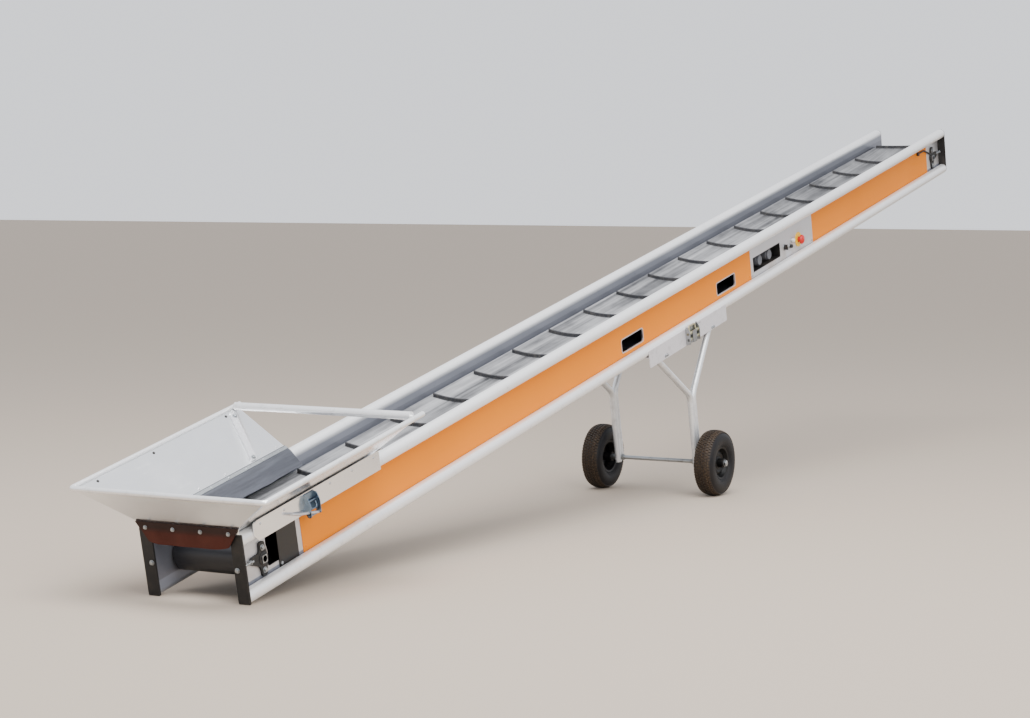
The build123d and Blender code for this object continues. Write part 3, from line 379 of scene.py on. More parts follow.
def fastener_tree():
    """Geometry nodes that set one piece on each point, turned by the point's own directions.

    Where a point has a sag, the piece is then bent down in the middle, as a troughed belt is.
    """
    tree = bpy.data.node_groups.new("fasteners", "GeometryNodeTree")
    sockets = (
        ("Points", "Geometry"),
        ("Fastener", "Object"),
        ("Size", "Float"),
        ("Sag Half", "Float"),
        ("Finish", "Material"),
    )
    for name, kind in sockets:
        tree.interface.new_socket(name, in_out="INPUT", socket_type="NodeSocket" + kind)
    tree.interface.new_socket("Result", in_out="OUTPUT", socket_type="NodeSocketGeometry")
    graph = Graph(tree)
    given = {name: graph.node("NodeGroupInput", output=name) for name, kind in sockets}
    aim, side, sag = (
        graph.node("GeometryNodeInputNamedAttribute", {"data_type": kind}, {"Name": name}, "Attribute")
        for name, kind in (("aim", "FLOAT_VECTOR"), ("side", "FLOAT_VECTOR"), ("sag", "FLOAT"))
    )
    turn = "FunctionNodeAlignRotationToVector"
    upright = graph.node(turn, {"axis": "Z", "pivot_axis": "AUTO"}, {"Vector": aim})
    turned = graph.node(turn, {"axis": "X", "pivot_axis": "Z"}, {"Vector": side, "Rotation": upright})
    points = graph.node("GeometryNodeMeshToPoints", inputs={"Mesh": given["Points"]})
    piece = graph.node("GeometryNodeObjectInfo", inputs={"Object": given["Fastener"]}, output="Geometry")
    setting = {"Points": points, "Instance": piece, "Rotation": turned, "Scale": given["Size"]}
    placed = graph.node("GeometryNodeInstanceOnPoints", inputs=setting)
    real = graph.node("GeometryNodeRealizeInstances", inputs={0: placed})
    here = graph.node("GeometryNodeInputPosition")
    across = graph.node("ShaderNodeSeparateXYZ", inputs={0: here}, output="Y")
    share = graph.maths("DIVIDE", across, given["Sag Half"])
    drop = (graph.maths("POWER", share, 2.0) - 1.0) * sag
    lower = graph.node("ShaderNodeVectorMath", {"operation": "SCALE"}, {0: aim, "Scale": drop})
    bent_down = graph.node("GeometryNodeSetPosition", inputs={"Geometry": real, "Offset": lower})
    last = {"Geometry": bent_down, "Material": given["Finish"]}
    finished = graph.node("GeometryNodeSetMaterial", inputs=last)
    graph.feed(tree.nodes.new("NodeGroupOutput"), {"Result": finished})
    return tree


FASTENERS = fastener_tree()
turn_seed = random.Random(7)


def set_out(name, places, pattern, size, material, body="conveyor", sag_half=1.0):
    """Set a pattern of unit size on places: each a point, an outward aim, a side or None, and a sag."""
    data = bpy.data.meshes.new(name + "_points")
    data.from_pydata([place[0] for place in places], [], [])
    sags = data.attributes.new("sag", "FLOAT", "POINT")
    for i, place in enumerate(places):
        sags.data[i].value = place[3] if len(place) > 3 else 0.0
    for key, column in (("aim", 1), ("side", 2)):
        attribute = data.attributes.new(key, "FLOAT_VECTOR", "POINT")
        for i, place in enumerate(places):
            vector = place[column]
            if vector is None:
                loose = Vector([turn_seed.uniform(-1, 1) for axis in range(3)])
                vector = loose.cross(place[1])
            attribute.data[i].vector = vector.normalized()
    carrier = bpy.data.objects.new(name + "_points", data)
    bpy.context.scene.collection.objects.link(carrier)
    modifier = carrier.modifiers.new("fasteners", "NODES")
    modifier.node_group = FASTENERS
    values = {"Fastener": pattern, "Size": size, "Sag Half": sag_half, "Finish": material}
    for socket in FASTENERS.interface.items_tree:
        if socket.name in values:
            modifier[socket.identifier] = values[socket.name]
    graph = bpy.context.evaluated_depsgraph_get()
    mesh = bpy.data.meshes.new_from_object(carrier.evaluated_get(graph))
    mesh.name = name
    bpy.data.objects.remove(carrier)
    made = bpy.data.objects.new(name, mesh)
    bpy.context.scene.collection.objects.link(made)
    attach(made, body)


def unit_fastener(name, profile, sides, head=()):
    """Hidden fastener of unit size on the Z axis: a round foot and, for a bolt, a six-sided head."""
    up = Vector((0, 0, 1))
    shape = Shape()
    shape.turned(Vector(), up, profile, sides)
    if head:
        shape.turned(Vector(), up, head, sides=6)
    return shape.pattern(name, sharp=30)


DOME = ((-0.05, 1.0), (0.12, 1.0), (0.42, 0.86), (0.62, 0.55), (0.68, 0.2))
dome = unit_fastener("dome_head", DOME, sides=16)

paint = Paint("orange_paint")
mottle = paint.noise(3.0, 4.0, 0.55)
grain = paint.noise(900.0, 2.0)
chips = paint.noise(48.0, 8.0, 0.75).over(0.72, 0.735)
rubs = paint.noise(1.0, 5.0, 0.7, (9, 60, 60)).over(0.6, 0.8)
height = paint.part(2)
low_edge = 1 - height.over(PANEL_BOTTOM, PANEL_BOTTOM + WORN_EDGE)
edge = low_edge + height.over(PANEL_TOP - WORN_EDGE, PANEL_TOP)
worn_edge = edge * paint.noise(70.0, 6.0, 0.7).over(0.5, 0.62)
orange_coat = paint.blend(mottle, (232, 132, 0), (222, 124, 0))
rubbed_coat = paint.blend(rubs * 0.2, orange_coat, (236, 150, 24))
orange_paint = paint.finish(
    colour=(chips + worn_edge, rubbed_coat, (150, 128, 104)),
    roughness=0.5 + mottle * 0.1 + rubs * 0.14,
    Specular_IOR_Level=0.15,
    relief=(grain * 0.25 - chips, 0.00018),
)
dress(orange_paint, "side_panel_near_lower", "side_panel_near_upper", "side_panel_far")

slot_rims = Shape()
rim_steps = (
    (0, -SLOT_RIM_DEPTH),
    (0, SLOT_RIM_LIFT),
    (SLOT_RIM_WIDTH, SLOT_RIM_LIFT),
    (SLOT_RIM_WIDTH, 0.0),
)
for sign in (-1, 1):
    for place in SLOT_PLACES:
        rings = []
        for grow, lift in rim_steps:
            half = SLOT_LENGTH / 2 + grow
            rise = SLOT_HEIGHT / 2 + grow
            limits = (place - half, place + half, SLOT_MIDDLE - rise, SLOT_MIDDLE + rise)
            rings.append(box_outline(*limits, sign * (PANEL_FACE + lift), SLOT_CORNER + grow))
        slot_rims.loft(rings, looped=True)
slot_rims.finish("slot_rims", web_aluminium)

rivets = []
for sign, start, end in PANEL_SPANS:
    rivets += corner_fixings(start, end, sign, PANEL_RIVET_INSET)
set_out("panel_rivets", rivets, dome, PANEL_RIVET, orange_paint)

# End caps, covers and cable
# Moulded black caps close the rails; the thick tail ones are the feet and are scuffed and dusty.
# Dark coated covers stand behind the tail bearings. A rubber cable feeds the motor in the head drum.
COVER_BOLT_PLACES = ((0.226, 0.048), (0.308, 0.167))
COVER_FACE = 0.15
COVER_BOLT = 0.0062

paint = Paint("moulded_black")
grain = paint.noise(1400.0, 2.0)
dust = paint.noise(16.0, 6.0, 0.7).over(0.5, 0.8)
moulded_black = paint.finish(
    colour=(dust * 0.3, (17, 16, 16), (96, 84, 72)),
    roughness=0.48 + dust * 0.3 + grain * 0.08,
    relief=(grain, 0.00012),
)
dress(moulded_black, "tail_caps", "head_caps", "socket_box", "return_rollers")

paint = Paint("dark_coating")
flow = paint.noise(7.0, 4.0)
specks = paint.noise(130.0, 6.0, 0.7).over(0.66, 0.72)
dark_coating = paint.finish(
    colour=(specks * 0.5, (18, 15, 13), (80, 68, 58)),
    roughness=0.3 + flow * 0.16 + specks * 0.2,
    relief=(flow * 0.4 + specks * 0.2, 0.0004),
)
dress(dark_coating, "tail_covers")

paint = Paint("cable_rubber")
skin = paint.noise(300.0, 3.0)
cable_rubber = paint.finish(
    colour=(skin, (26, 26, 28), (44, 42, 42)),
    roughness=0.5 + skin * 0.2,
    relief=(skin, 0.0001),
)
dress(cable_rubber, "motor_cable")

paint = Paint("zinc")
spangle = paint.noise(260.0, 4.0, 0.6)
tarnish = paint.noise(38.0, 6.0, 0.7).over(0.5, 0.8)
zinc = paint.finish(
    colour=(tarnish, (166, 170, 173), (112, 110, 102)),
    Metallic=1.0,
    roughness=0.26 + spangle * 0.16 + tarnish * 0.22,
    relief=(spangle, 0.0001),
)
cover_bolts = [fixing(s, h, sign, COVER_FACE) for s, h in COVER_BOLT_PLACES for sign in (-1, 1)]
set_out("cover_bolts", cover_bolts, dome, COVER_BOLT, zinc)

# Bearing brackets and tension screws
# Cast black brackets with four arms carry the ends of both drum shafts. Each is held by two
# zinc-plated bolts, and a threaded screw through the end cap pulls its long arm.
BRACKET_BACK = 0.147
BRACKET_THICKNESS = 0.007
BRACKET_FACE = BRACKET_BACK + BRACKET_THICKNESS
BRACKET_CORNER = 0.009
BRACKET_BOLT_REACH = 0.035
BRACKET_BOLT = 0.0095
BOLT_WASHER = ((-0.05, 1.0), (0.14, 1.0), (0.18, 0.95))
BOLT_HEAD = ((0.1, 0.76), (0.62, 0.76), (0.74, 0.62), (0.74, 0.2))
BEARING_HUB = ((-0.001, 0.022), (0.0015, 0.021), (0.003, 0.018), (0.003, 0.012))
SHAFT_BLOCK = 0.012
SHAFT_BLOCK_BACK = 0.156
SHAFT_BLOCK_LIFT = 0.004
SCREW_RADIUS = 0.004
SCREW_ROOT = 0.86
SCREW_PITCH = 0.0025
SCREW_HEIGHT = 0.105
SCREW_Y = 0.155
SCREW_HEAD = 0.0084
SCREW_NUT = ((0, 0.0068), (0.0008, 0.0075), (0.0058, 0.0075), (0.0065, 0.0068))
NUT_INSET = 0.012
ARM_REACH = 0.063
FRAME_LENGTH = 6.0
BRACKET_OUTLINE = (
    (-0.013, 0.053),
    (0.013, 0.053),
    (0.017, 0.022),
    (ARM_REACH, 0.02),
    (ARM_REACH, 0.0),
    (0.018, -0.02),
    (0.013, -0.053),
    (-0.013, -0.053),
    (-0.018, -0.02),
    (-0.026, 0.0),
    (-0.018, 0.02),
)
SIDES = tuple((sign, sideways * sign) for sign in (-1, 1))


def frame_place(point):
    """Place along, across and above the sloping frame of a row frame point."""
    turned = point - Vector((foot_x, 0, 0))
    return turned.dot(along), point.y, turned.dot(above)


def middle(node):
    low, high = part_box(node)
    return frame_place((low + high) / 2)


tail_s, _, drum_h = middle("tail_drum")
head_s = middle("head_drum")[0]

paint = Paint("cast_black")
casting = paint.noise(420.0, 4.0, 0.6)
dust = paint.noise(40.0, 5.0, 0.7).over(0.52, 0.8)
cast_black = paint.finish(
    colour=(dust * 0.4, (18, 17, 17), (96, 84, 72)),
    roughness=0.42 + casting * 0.15 + dust * 0.25,
    relief=(casting, 0.0005),
)

hex_bolt = unit_fastener("hex_bolt", BOLT_WASHER, sides=24, head=BOLT_HEAD)
shaft_blocks = Shape()
screws = Shape()
screw_heads = []
bracket_bolts = []
screw_start = ARM_REACH - NUT_INSET
for end_name, shaft_s, end_s, way in (("tail", tail_s, 0.0, -1), ("head", head_s, FRAME_LENGTH, 1)):
    brackets = Shape()
    turns = int((end_s - shaft_s) * way / SCREW_PITCH - screw_start / SCREW_PITCH)
    thread = [(k * SCREW_PITCH / 2, SCREW_RADIUS * (1.0 if k % 2 else SCREW_ROOT)) for k in range(2 * turns)]
    for sign, out in SIDES:
        corners = [spot(shaft_s + way * a, sign * BRACKET_BACK, drum_h + b) for a, b in BRACKET_OUTLINE]
        brackets.plate(softened(corners, BRACKET_CORNER, steps=5), out * BRACKET_THICKNESS)
        brackets.turned(spot(shaft_s, sign * BRACKET_FACE, drum_h), out, BEARING_HUB)
        limits = (shaft_s - SHAFT_BLOCK, shaft_s + SHAFT_BLOCK, drum_h - SHAFT_BLOCK, drum_h + SHAFT_BLOCK)
        shaft_blocks.plate(box_outline(*limits, sign * SHAFT_BLOCK_BACK, reach=0.003), out * SHAFT_BLOCK_LIFT)
        start = spot(shaft_s + way * screw_start, sign * SCREW_Y, SCREW_HEIGHT)
        screws.turned(start, along * way, thread, sides=12)
        screw_heads.append((spot(end_s, sign * SCREW_Y, SCREW_HEIGHT), along * way, None))
        for nut_s in (shaft_s + way * ARM_REACH, end_s - way * NUT_INSET):
            screws.turned(spot(nut_s, sign * SCREW_Y, SCREW_HEIGHT), along * way, SCREW_NUT, sides=6)
        for rise in (-BRACKET_BOLT_REACH, BRACKET_BOLT_REACH):
            bracket_bolts.append(fixing(shaft_s, drum_h + rise, sign, BRACKET_FACE))
    brackets.finish(f"{end_name}_brackets", cast_black, bevel=0.0008, replaces=[f"{end_name}_bearings"])
shaft_blocks.finish("shaft_blocks", zinc, bevel=0.0008)
screws.finish("tension_rods", zinc, replaces=["tension_screws"])
set_out("tension_heads", screw_heads, hex_bolt, SCREW_HEAD, zinc)
set_out("bracket_bolts", bracket_bolts, hex_bolt, BRACKET_BOLT, zinc)

# Drums
# Steel drums turned in a lathe: fine rings run round them, bright at the edges where the belt
# leaves them bare. The head drum holds the motor.
paint = Paint("turned_steel")
rings = paint.noise(1.0, 3.0, 0.6, (4, 900, 4))
rust = paint.noise(55.0, 7.0, 0.7).over(0.58, 0.78)
turned_steel = paint.finish(
    colour=(rust * 0.7, (150, 150, 152), (108, 84, 66)),
    Metallic=0.85 - rust * 0.5,
    roughness=0.32 + rings * 0.14 + rust * 0.3,
    relief=(rings, 0.0002),
)
dress(turned_steel, "tail_drum", "head_drum")

# Belt
# A dark rubber loop, flat round the drums and on its way back, and troughed on the carrying run by
# the bed under it. Rubber cleats are vulcanised across it. The carrying face turns light grey in
# streaks along its travel: partly sand dust, partly a painted reflection of the sky on its top.
BELT_HALF = 0.136
BELT_THICKNESS = 0.004
DRUM_RADIUS = 0.051
TROUGH_DEPTH = 0.02
TROUGH_RUN_IN = 0.25
BELT_STEPS_ACROSS = 16
BELT_STEPS_ALONG = 96
BELT_STEPS_ROUND = 20
CARRYING_HEIGHTS = (0.1, 0.12)
SAND_AND_SHEEN_FROM_DRUM = (0.01, 0.12)
CLEAT_PITCH = 0.285
CLEAT_START = 0.039
CLEAT_HALF = 0.122
CLEAT_COUNT = 41
CLEAT_STEPS = 8
CLEAT_SIDE = ((0.0065, -0.0006), (0.0046, 0.0024), (0.0038, 0.0112), (0.0024, 0.013))
run_length = head_s - tail_s
wrap_radius = DRUM_RADIUS + BELT_THICKNESS
wrap_length = math.pi * (DRUM_RADIUS + BELT_THICKNESS / 2)
loop_length = 2 * (run_length + wrap_length)


def mirrored(profile, length=0.0):
    """Profile of steps and radii, and the same again from the other end of a length."""
    return [*profile] + [(length - step, radius) for step, radius in reversed(profile)]


def belt_place(distance):
    """Place of the belt's outer face a distance round the loop: point, travel, outward and sag."""
    side_of_loop, rest = divmod(distance % loop_length, run_length + wrap_length)
    start_s, way = ((tail_s, 1), (head_s, -1))[int(side_of_loop)]
    turn = math.pi * (side_of_loop + max(0.0, rest - run_length) / wrap_length)
    s = start_s + way * min(rest, run_length)
    outward = above * math.cos(turn) + along * math.sin(turn)
    travel = along * math.cos(turn) - above * math.sin(turn)
    run_in = min(s - tail_s, head_s - s) / TROUGH_RUN_IN
    sag = TROUGH_DEPTH * max(0.0, min(1.0, run_in)) if side_of_loop == 0 else 0.0
    return spot(s, 0, drum_h) + outward * wrap_radius, travel, outward, sag


stations = []
for lap in (0.0, run_length + wrap_length):
    stations += [lap + run_length * k / BELT_STEPS_ALONG for k in range(BELT_STEPS_ALONG)]
    stations += [lap + run_length + wrap_length * k / BELT_STEPS_ROUND for k in range(BELT_STEPS_ROUND)]
sheet = Shape()
rings = []
across_steps = [BELT_HALF * (2 * k / BELT_STEPS_ACROSS - 1) for k in range(BELT_STEPS_ACROSS + 1)]
for distance in stations:
    face, travel, outward, sag = belt_place(distance)
    outer = [face + sideways * y - outward * (sag * (1 - (y / BELT_HALF) ** 2)) for y in across_steps]
    rings.append(outer + [point - outward * BELT_THICKNESS for point in reversed(outer)])
sheet.loft(rings, looped=True)

paint = Paint("belt_rubber")
past_drum = paint.part(0).over(*(tail_s + distance for distance in SAND_AND_SHEEN_FROM_DRUM))
carrying = paint.part(2).over(*CARRYING_HEIGHTS) * past_drum
streaks = paint.noise(1.0, 5.0, 0.6, (0.9, 34, 4)).over(0.38, 0.66)
patches = paint.noise(1.0, 6.0, 0.65, (3.2, 6, 4)).over(0.35, 0.7)
weave = paint.noise(800.0, 2.0)
# Partly painted reflection: the light grey (190, 190, 192) on the carrying face's top stands for sand dust
# and also for the sky's sheen there.
sand_and_sheen = carrying * (streaks * 0.55 + patches * 0.35)
belt_rubber = paint.finish(
    colour=(sand_and_sheen * 0.9, (31, 32, 36), (190, 190, 192)),
    roughness=0.34 + sand_and_sheen * 0.32 + weave * 0.06,
    relief=(weave * 0.5 + streaks * 0.5, 0.0003),
)
sheet.finish("belt_sheet", belt_rubber, replaces=["belt"])

paint = Paint("cleat_rubber")
flaws = paint.noise(90.0, 5.0, 0.65).over(0.45, 0.8)
cleat_rubber = paint.finish(
    colour=(flaws * 0.35, (40, 41, 45), (120, 114, 106)),
    roughness=0.55 + flaws * 0.2,
    relief=(flaws, 0.0004),
)
cleat = Shape()
profile = mirrored(CLEAT_SIDE)
steps = range(-CLEAT_STEPS, CLEAT_STEPS + 1)
cleat.loft([[Vector((a, CLEAT_HALF * k / CLEAT_STEPS, b)) for a, b in profile] for k in steps])
cleat_pattern = cleat.pattern("cleat")
cleats = []
for k in range(CLEAT_COUNT):
    face, travel, outward, sag = belt_place(CLEAT_START + k * CLEAT_PITCH)
    cleats.append((face, outward, travel, sag))
set_out("belt_cleats", cleats, cleat_pattern, 1.0, cleat_rubber, sag_half=BELT_HALF)

# Slide bed, ties and rollers
# The belt's carrying run slides on a galvanised tray between the webs. Round ties and small plastic
# rollers between and under the runs show from below.
paint = Paint("galvanised")
cells = {"Vector": paint.place, "Scale": 90.0}
spangle = paint.node("ShaderNodeTexVoronoi", {"feature": "F1"}, cells)
cloud = paint.noise(12.0, 4.0)
galvanised = paint.finish(
    colour=(spangle * 0.8, (196, 199, 202), (150, 154, 160)),
    Metallic=0.85,
    roughness=0.34 + cloud * 0.16,
    relief=(cloud, 0.0003),
)
dress(galvanised, "slide_bed", "cross_ties")

# Controls
# The bare plate on the near side is screwed to the web. Its window is lined by a moulded box with
# two sockets under sprung lids; beside it stand a selector switch, a black and a white button, and a
# red mushroom stop on a yellow disc. The lettering beside them is left off.
PLATE_SPAN = (3.712, 4.376)
PLATE_SCREW = 0.004
PLATE_SCREW_INSET = 0.012
SOCKET_PLACES = (3.83, 3.93)
SOCKET_HEIGHT = 0.0905
SOCKET_BACK = 0.109
SOCKET_COLLAR = [(0, 0.024), (0.02, 0.024), (0.022, 0.0225), (0.026, 0.0225)]
SOCKET_COLLAR += [(0.026, 0.02), (0.004, 0.019), (0.004, 0.004)]
SOCKET_LID = [(0.0262, 0.019), (0.0262, 0.0215), (0.0285, 0.0215), (0.0298, 0.02)]
SOCKET_LID += [(0.03, 0.016), (0.0288, 0.012), (0.0288, 0.003)]
HINGE_HALF = 0.009
HINGE_RISE = (0.019, 0.026)
HINGE_BACK = 0.131
HINGE_DEPTH = 0.007
BEZEL = ((0, 1.0), (0.0022, 1.0), (0.0032, 0.93), (0.0032, 0.72))
SELECTOR_PLACE = (4.066, 0.089)
SELECTOR_BEZEL = 0.015
SELECTOR_LIFT = 0.0025
SELECTOR_FOOT = ((0, 0.0115), (0.006, 0.011), (0.0068, 0.0102), (0.0068, 0.003))
GRIP_HALF = 0.004
GRIP_RISE = 0.0115
GRIP_BACK = PANEL_FACE + 0.009
GRIP_DEPTH = 0.0078
POINTER_HALF = 0.0008
POINTER_RISE = (0.001, 0.0105)
POINTER_DEPTH = 0.0004
BUTTON_PLACES = ((4.125, 0.08, "black"), (4.15, 0.1, "white"))
BUTTON_BEZEL = 0.011
BUTTON_LIFT = 0.003
BUTTON_CAP = ((0, 0.008), (0.0085, 0.008), (0.0102, 0.0064), (0.0104, 0.002))
STOP_PLACE = (4.217, 0.088)
STOP_BUTTON = [(0.0005, 0.0115), (0.0142, 0.0115), (0.0142, 0.019), (0.017, 0.0202)]
STOP_BUTTON += [(0.021, 0.0195), (0.0245, 0.0168), (0.027, 0.011), (0.028, 0.003)]


def moulded(name, colour, grit=0.0, shine=0.35):
    """Moulded plastic in one colour, with fine texture, faint mottling and a little dust."""
    plastic = Paint(name)
    fine = plastic.noise(1600.0, 2.0)
    cloud = plastic.noise(60.0, 5.0, 0.6).over(0.45, 0.85)
    return plastic.finish(
        colour=(cloud * (0.12 + grit), colour, (150, 138, 124)),
        roughness=shine + fine * 0.12 + cloud * 0.15,
        relief=(fine, 0.00006),
    )


black_plastic = moulded("black_plastic", (16, 16, 18))
white_plastic = moulded("white_plastic", (226, 226, 222))
grey_plastic = moulded("grey_plastic", (84, 87, 94), grit=0.1)
yellow_plastic = moulded("yellow_plastic", (240, 190, 12))
red_plastic = moulded("red_plastic", (196, 16, 14), shine=0.2)
dress(web_aluminium, "control_plate")
dress(yellow_plastic, "stop_ring")
near = -sideways

sockets = Shape()
for s in SOCKET_PLACES:
    back = spot(s, -SOCKET_BACK, SOCKET_HEIGHT)
    sockets.turned(back, near, SOCKET_COLLAR)
    sockets.turned(back, near, SOCKET_LID)
    rises = [SOCKET_HEIGHT + rise for rise in HINGE_RISE]
    hinge = box_outline(s - HINGE_HALF, s + HINGE_HALF, *rises, -HINGE_BACK, reach=0.002)
    sockets.plate(hinge, near * HINGE_DEPTH)
sockets.finish("socket_lids", grey_plastic, bevel=0.0005, replaces=["power_sockets"])

bezels = Shape()
bezel_places = [(*SELECTOR_PLACE, SELECTOR_BEZEL)]
bezel_places += [(s, h, BUTTON_BEZEL) for s, h, colour in BUTTON_PLACES]
for s, h, radius in bezel_places:
    bezels.turned(spot(s, -PANEL_FACE, h), near, [(rise, share * radius) for rise, share in BEZEL])
bezels.finish("control_bezels", zinc)

selector = Shape()
s, h = SELECTOR_PLACE
selector.turned(spot(s, -PANEL_FACE - SELECTOR_LIFT, h), near, SELECTOR_FOOT)
grip = box_outline(s - GRIP_HALF, s + GRIP_HALF, h - GRIP_RISE, h + GRIP_RISE, -GRIP_BACK, reach=0.003)
selector.plate(grip, near * GRIP_DEPTH)
selector.finish("selector_knob", black_plastic, bevel=0.0007, replaces=["selector_switch"])
pointer = Shape()
rises = [h + rise for rise in POINTER_RISE]
mark = box_outline(s - POINTER_HALF, s + POINTER_HALF, *rises, -GRIP_BACK - GRIP_DEPTH, POINTER_DEPTH)
pointer.plate(mark, near * POINTER_DEPTH)
pointer.finish("selector_pointer", white_plastic)

for s, h, colour in BUTTON_PLACES:
    cap = Shape()
    cap.turned(spot(s, -PANEL_FACE - BUTTON_LIFT, h), near, BUTTON_CAP)
    plastic, stands_for = (black_plastic, ["push_buttons"]) if colour == "black" else (white_plastic, [])
    cap.finish(f"{colour}_button", plastic, replaces=stands_for)

stop = Shape()
s, h = STOP_PLACE
stop.turned(spot(s, -PANEL_FACE, h), near, STOP_BUTTON)
stop.finish("stop_mushroom", red_plastic, replaces=["stop_button"])

plate_screws = corner_fixings(*PLATE_SPAN, -1, PLATE_SCREW_INSET)
set_out("plate_screws", plate_screws, dome, PLATE_SCREW, zinc)

# Hopper
# Bright steel sheets slope down from a bent tube rim and are riveted to it and to the skirts that
# sit over the upper rails. A strap braces each side plate, and a bar joins the rim's ends.
RIM_RADIUS = 0.0085
RIM_Y = 0.3475
RIM_HEIGHT = 0.3525
RIM_FRONT = -0.0845
RIM_END = 0.786
RIM_BEND = 0.014
CROSSBAR_PLACE = 0.742
CROSSBAR_HEIGHT = 0.3585
CROSSBAR_RADIUS = 0.013
CROSSBAR_BORE = 0.0105
CROSSBAR_HALF = 0.333
CROSSBAR_PIN = ((0, 0.006), (0.008, 0.006))
CROSSBAR_PIN_INSET = 0.002
CROSSBAR_PIN_DROP = 0.003
SHEET = 0.0025
PLATE_SLOPE = math.radians(35.296)
SKIRT_FACE = 0.1878
HOPPER_RIVET = 0.0042
PLATE_RIVETS = 5
PLATE_RIVET_START = 0.16
PLATE_RIVET_PITCH = 0.14
PLATE_RIVET_REACH = 0.205
SKIRT_RIVETS = 6
SKIRT_RIVET_START = 0.095
SKIRT_RIVET_PITCH = 0.1248
SKIRT_RIVET_HEIGHT = 0.22
RIM_BOLT = 0.0048
RIM_BOLT_REACH = 0.02
RIM_BOLT_PLACES = (0.02, 0.297, 0.681)
BRACE_BOLT = 0.008
BRACE_BOLT_PLACES = ((0.7075, 0.035), (0.597, 0.2))
BRACE_ENDS = ((0.712, 0.022), (0.59, 0.2105))
BRACE_HALF = 0.014
BRACE_THICKNESS = 0.004


def bent(corners, radius, steps=10):
    """Open path through corners, with each inner corner an arc of about the radius."""
    path = [corners[0]]
    for before, corner, after in zip(corners, corners[1:], corners[2:]):
        way_in, way_out = (corner - before).normalized(), (after - corner).normalized()
        reach = radius * math.tan(way_in.angle(way_out) / 2)
        path += arc(corner - way_in * reach, corner, corner + way_out * reach, steps)
    return [*path, corners[-1]]


def on_plate(s, reach, sign, lift=0.0):
    """Place on a side plate's inner face, a reach down the slope from the rim's middle, and its normal."""
    inward = -sideways * sign
    down = inward * math.cos(PLATE_SLOPE) - above * math.sin(PLATE_SLOPE)
    normal = inward * math.sin(PLATE_SLOPE) + above * math.cos(PLATE_SLOPE)
    return spot(s, sign * RIM_Y, RIM_HEIGHT) + down * reach + normal * (SHEET / 2 + lift), normal


paint = Paint("bright_sheet")
smudges = paint.noise(5.0, 6.0, 0.7).over(0.4, 0.8)
scratches = paint.noise(1.0, 5.0, 0.7, (14, 90, 50)).over(0.58, 0.8)
rolling = paint.noise(1.0, 3.0, 0.5, (6, 400, 400))
bright_sheet = paint.finish(
    colour=(smudges * 0.3 + scratches * 0.2, (248, 249, 250), (214, 214, 216)),
    Metallic=0.95,
    roughness=0.14 + smudges * 0.12 + scratches * 0.1 + rolling * 0.05,
    relief=(scratches * 0.5 + smudges * 0.5, 0.0003),
)
dress(bright_sheet, "hopper_plate_near", "hopper_plate_far", "hopper_front_plate", "hopper_skirts")

paint = Paint("bright_tube")
rub = paint.noise(30.0, 6.0, 0.7).over(0.5, 0.78)
bright_tube = paint.finish(
    colour=(rub * 0.6, (246, 246, 246), (190, 188, 186)),
    Metallic=0.7,
    roughness=0.28 + rub * 0.22,
    relief=(rub, 0.0003),
)
rim = Shape()
corners = [
    spot(RIM_END, -RIM_Y, RIM_HEIGHT),
    spot(RIM_FRONT, -RIM_Y, RIM_HEIGHT),
    spot(RIM_FRONT, RIM_Y, RIM_HEIGHT),
    spot(RIM_END, RIM_Y, RIM_HEIGHT),
]
rim.tube(bent(corners, RIM_BEND), RIM_RADIUS)
rim.finish("rim_tube", bright_tube, bevel=0.001, replaces=["hopper_rim"], sharp=50.0)

crossbar = Shape()
bar_profile = mirrored([(-CROSSBAR_HALF, CROSSBAR_BORE), (-CROSSBAR_HALF, CROSSBAR_RADIUS)])
crossbar.turned(spot(CROSSBAR_PLACE, 0, CROSSBAR_HEIGHT), sideways, bar_profile)
for sign in (-1, 1):
    pin_y = sign * (CROSSBAR_HALF - CROSSBAR_PIN_INSET)
    pin_foot = spot(CROSSBAR_PLACE, pin_y, CROSSBAR_HEIGHT - CROSSBAR_PIN_DROP)
    crossbar.turned(pin_foot, sideways * sign, CROSSBAR_PIN, sides=20)
crossbar.finish("cross_tube", bright_tube, replaces=["hopper_crossbar"])

braces = Shape()
brace_bolts = []
for sign in (-1, 1):
    for s, reach in BRACE_BOLT_PLACES:
        place, normal = on_plate(s, reach, sign)
        brace_bolts.append((place + normal * BRACE_THICKNESS, normal, None))
    (top_s, top_reach), (foot_s, foot_reach) = BRACE_ENDS
    outline = [on_plate(top_s + shift, top_reach, sign)[0] for shift in (-BRACE_HALF, BRACE_HALF)]
    outline += [on_plate(foot_s + shift, foot_reach, sign)[0] for shift in (BRACE_HALF, -BRACE_HALF)]
    braces.plate(softened(outline, reach=0.007, steps=5), normal * BRACE_THICKNESS)
braces.finish("brace_straps", web_aluminium, bevel=0.0006, replaces=["hopper_braces"])
set_out("brace_bolts", brace_bolts, hex_bolt, BRACE_BOLT, zinc)

rivets = []
rim_bolts = []
for sign in (-1, 1):
    for k in range(PLATE_RIVETS):
        place, normal = on_plate(PLATE_RIVET_START + k * PLATE_RIVET_PITCH, PLATE_RIVET_REACH, sign)
        rivets.append((place, normal, None))
    for s in RIM_BOLT_PLACES:
        place, normal = on_plate(s, RIM_BOLT_REACH, sign)
        rim_bolts.append((place, normal, None))
        rim_bolts.append((place - normal * SHEET, -normal, None))
    for k in range(SKIRT_RIVETS):
        skirt_s = SKIRT_RIVET_START + k * SKIRT_RIVET_PITCH
        rivets.append(fixing(skirt_s, SKIRT_RIVET_HEIGHT, sign, SKIRT_FACE))
set_out("hopper_rivets", rivets, dome, HOPPER_RIVET, web_aluminium)
set_out("rim_bolts", rim_bolts, dome, RIM_BOLT, cast_black)

# Skirt strip of painted shade
# A thin black tube along the joint between each skirt and the plate above it is painted shade: it
# stands for the shadow in that joint. It lies on the skirt's upper edge, a little proud of its face.
STRIP_RADIUS = 0.0016
STRIP_PLACE = (0.1884, 0.2328)
STRIP_START = 0.06
STRIP_PITCH = 0.0694
STRIP_STEPS = 10
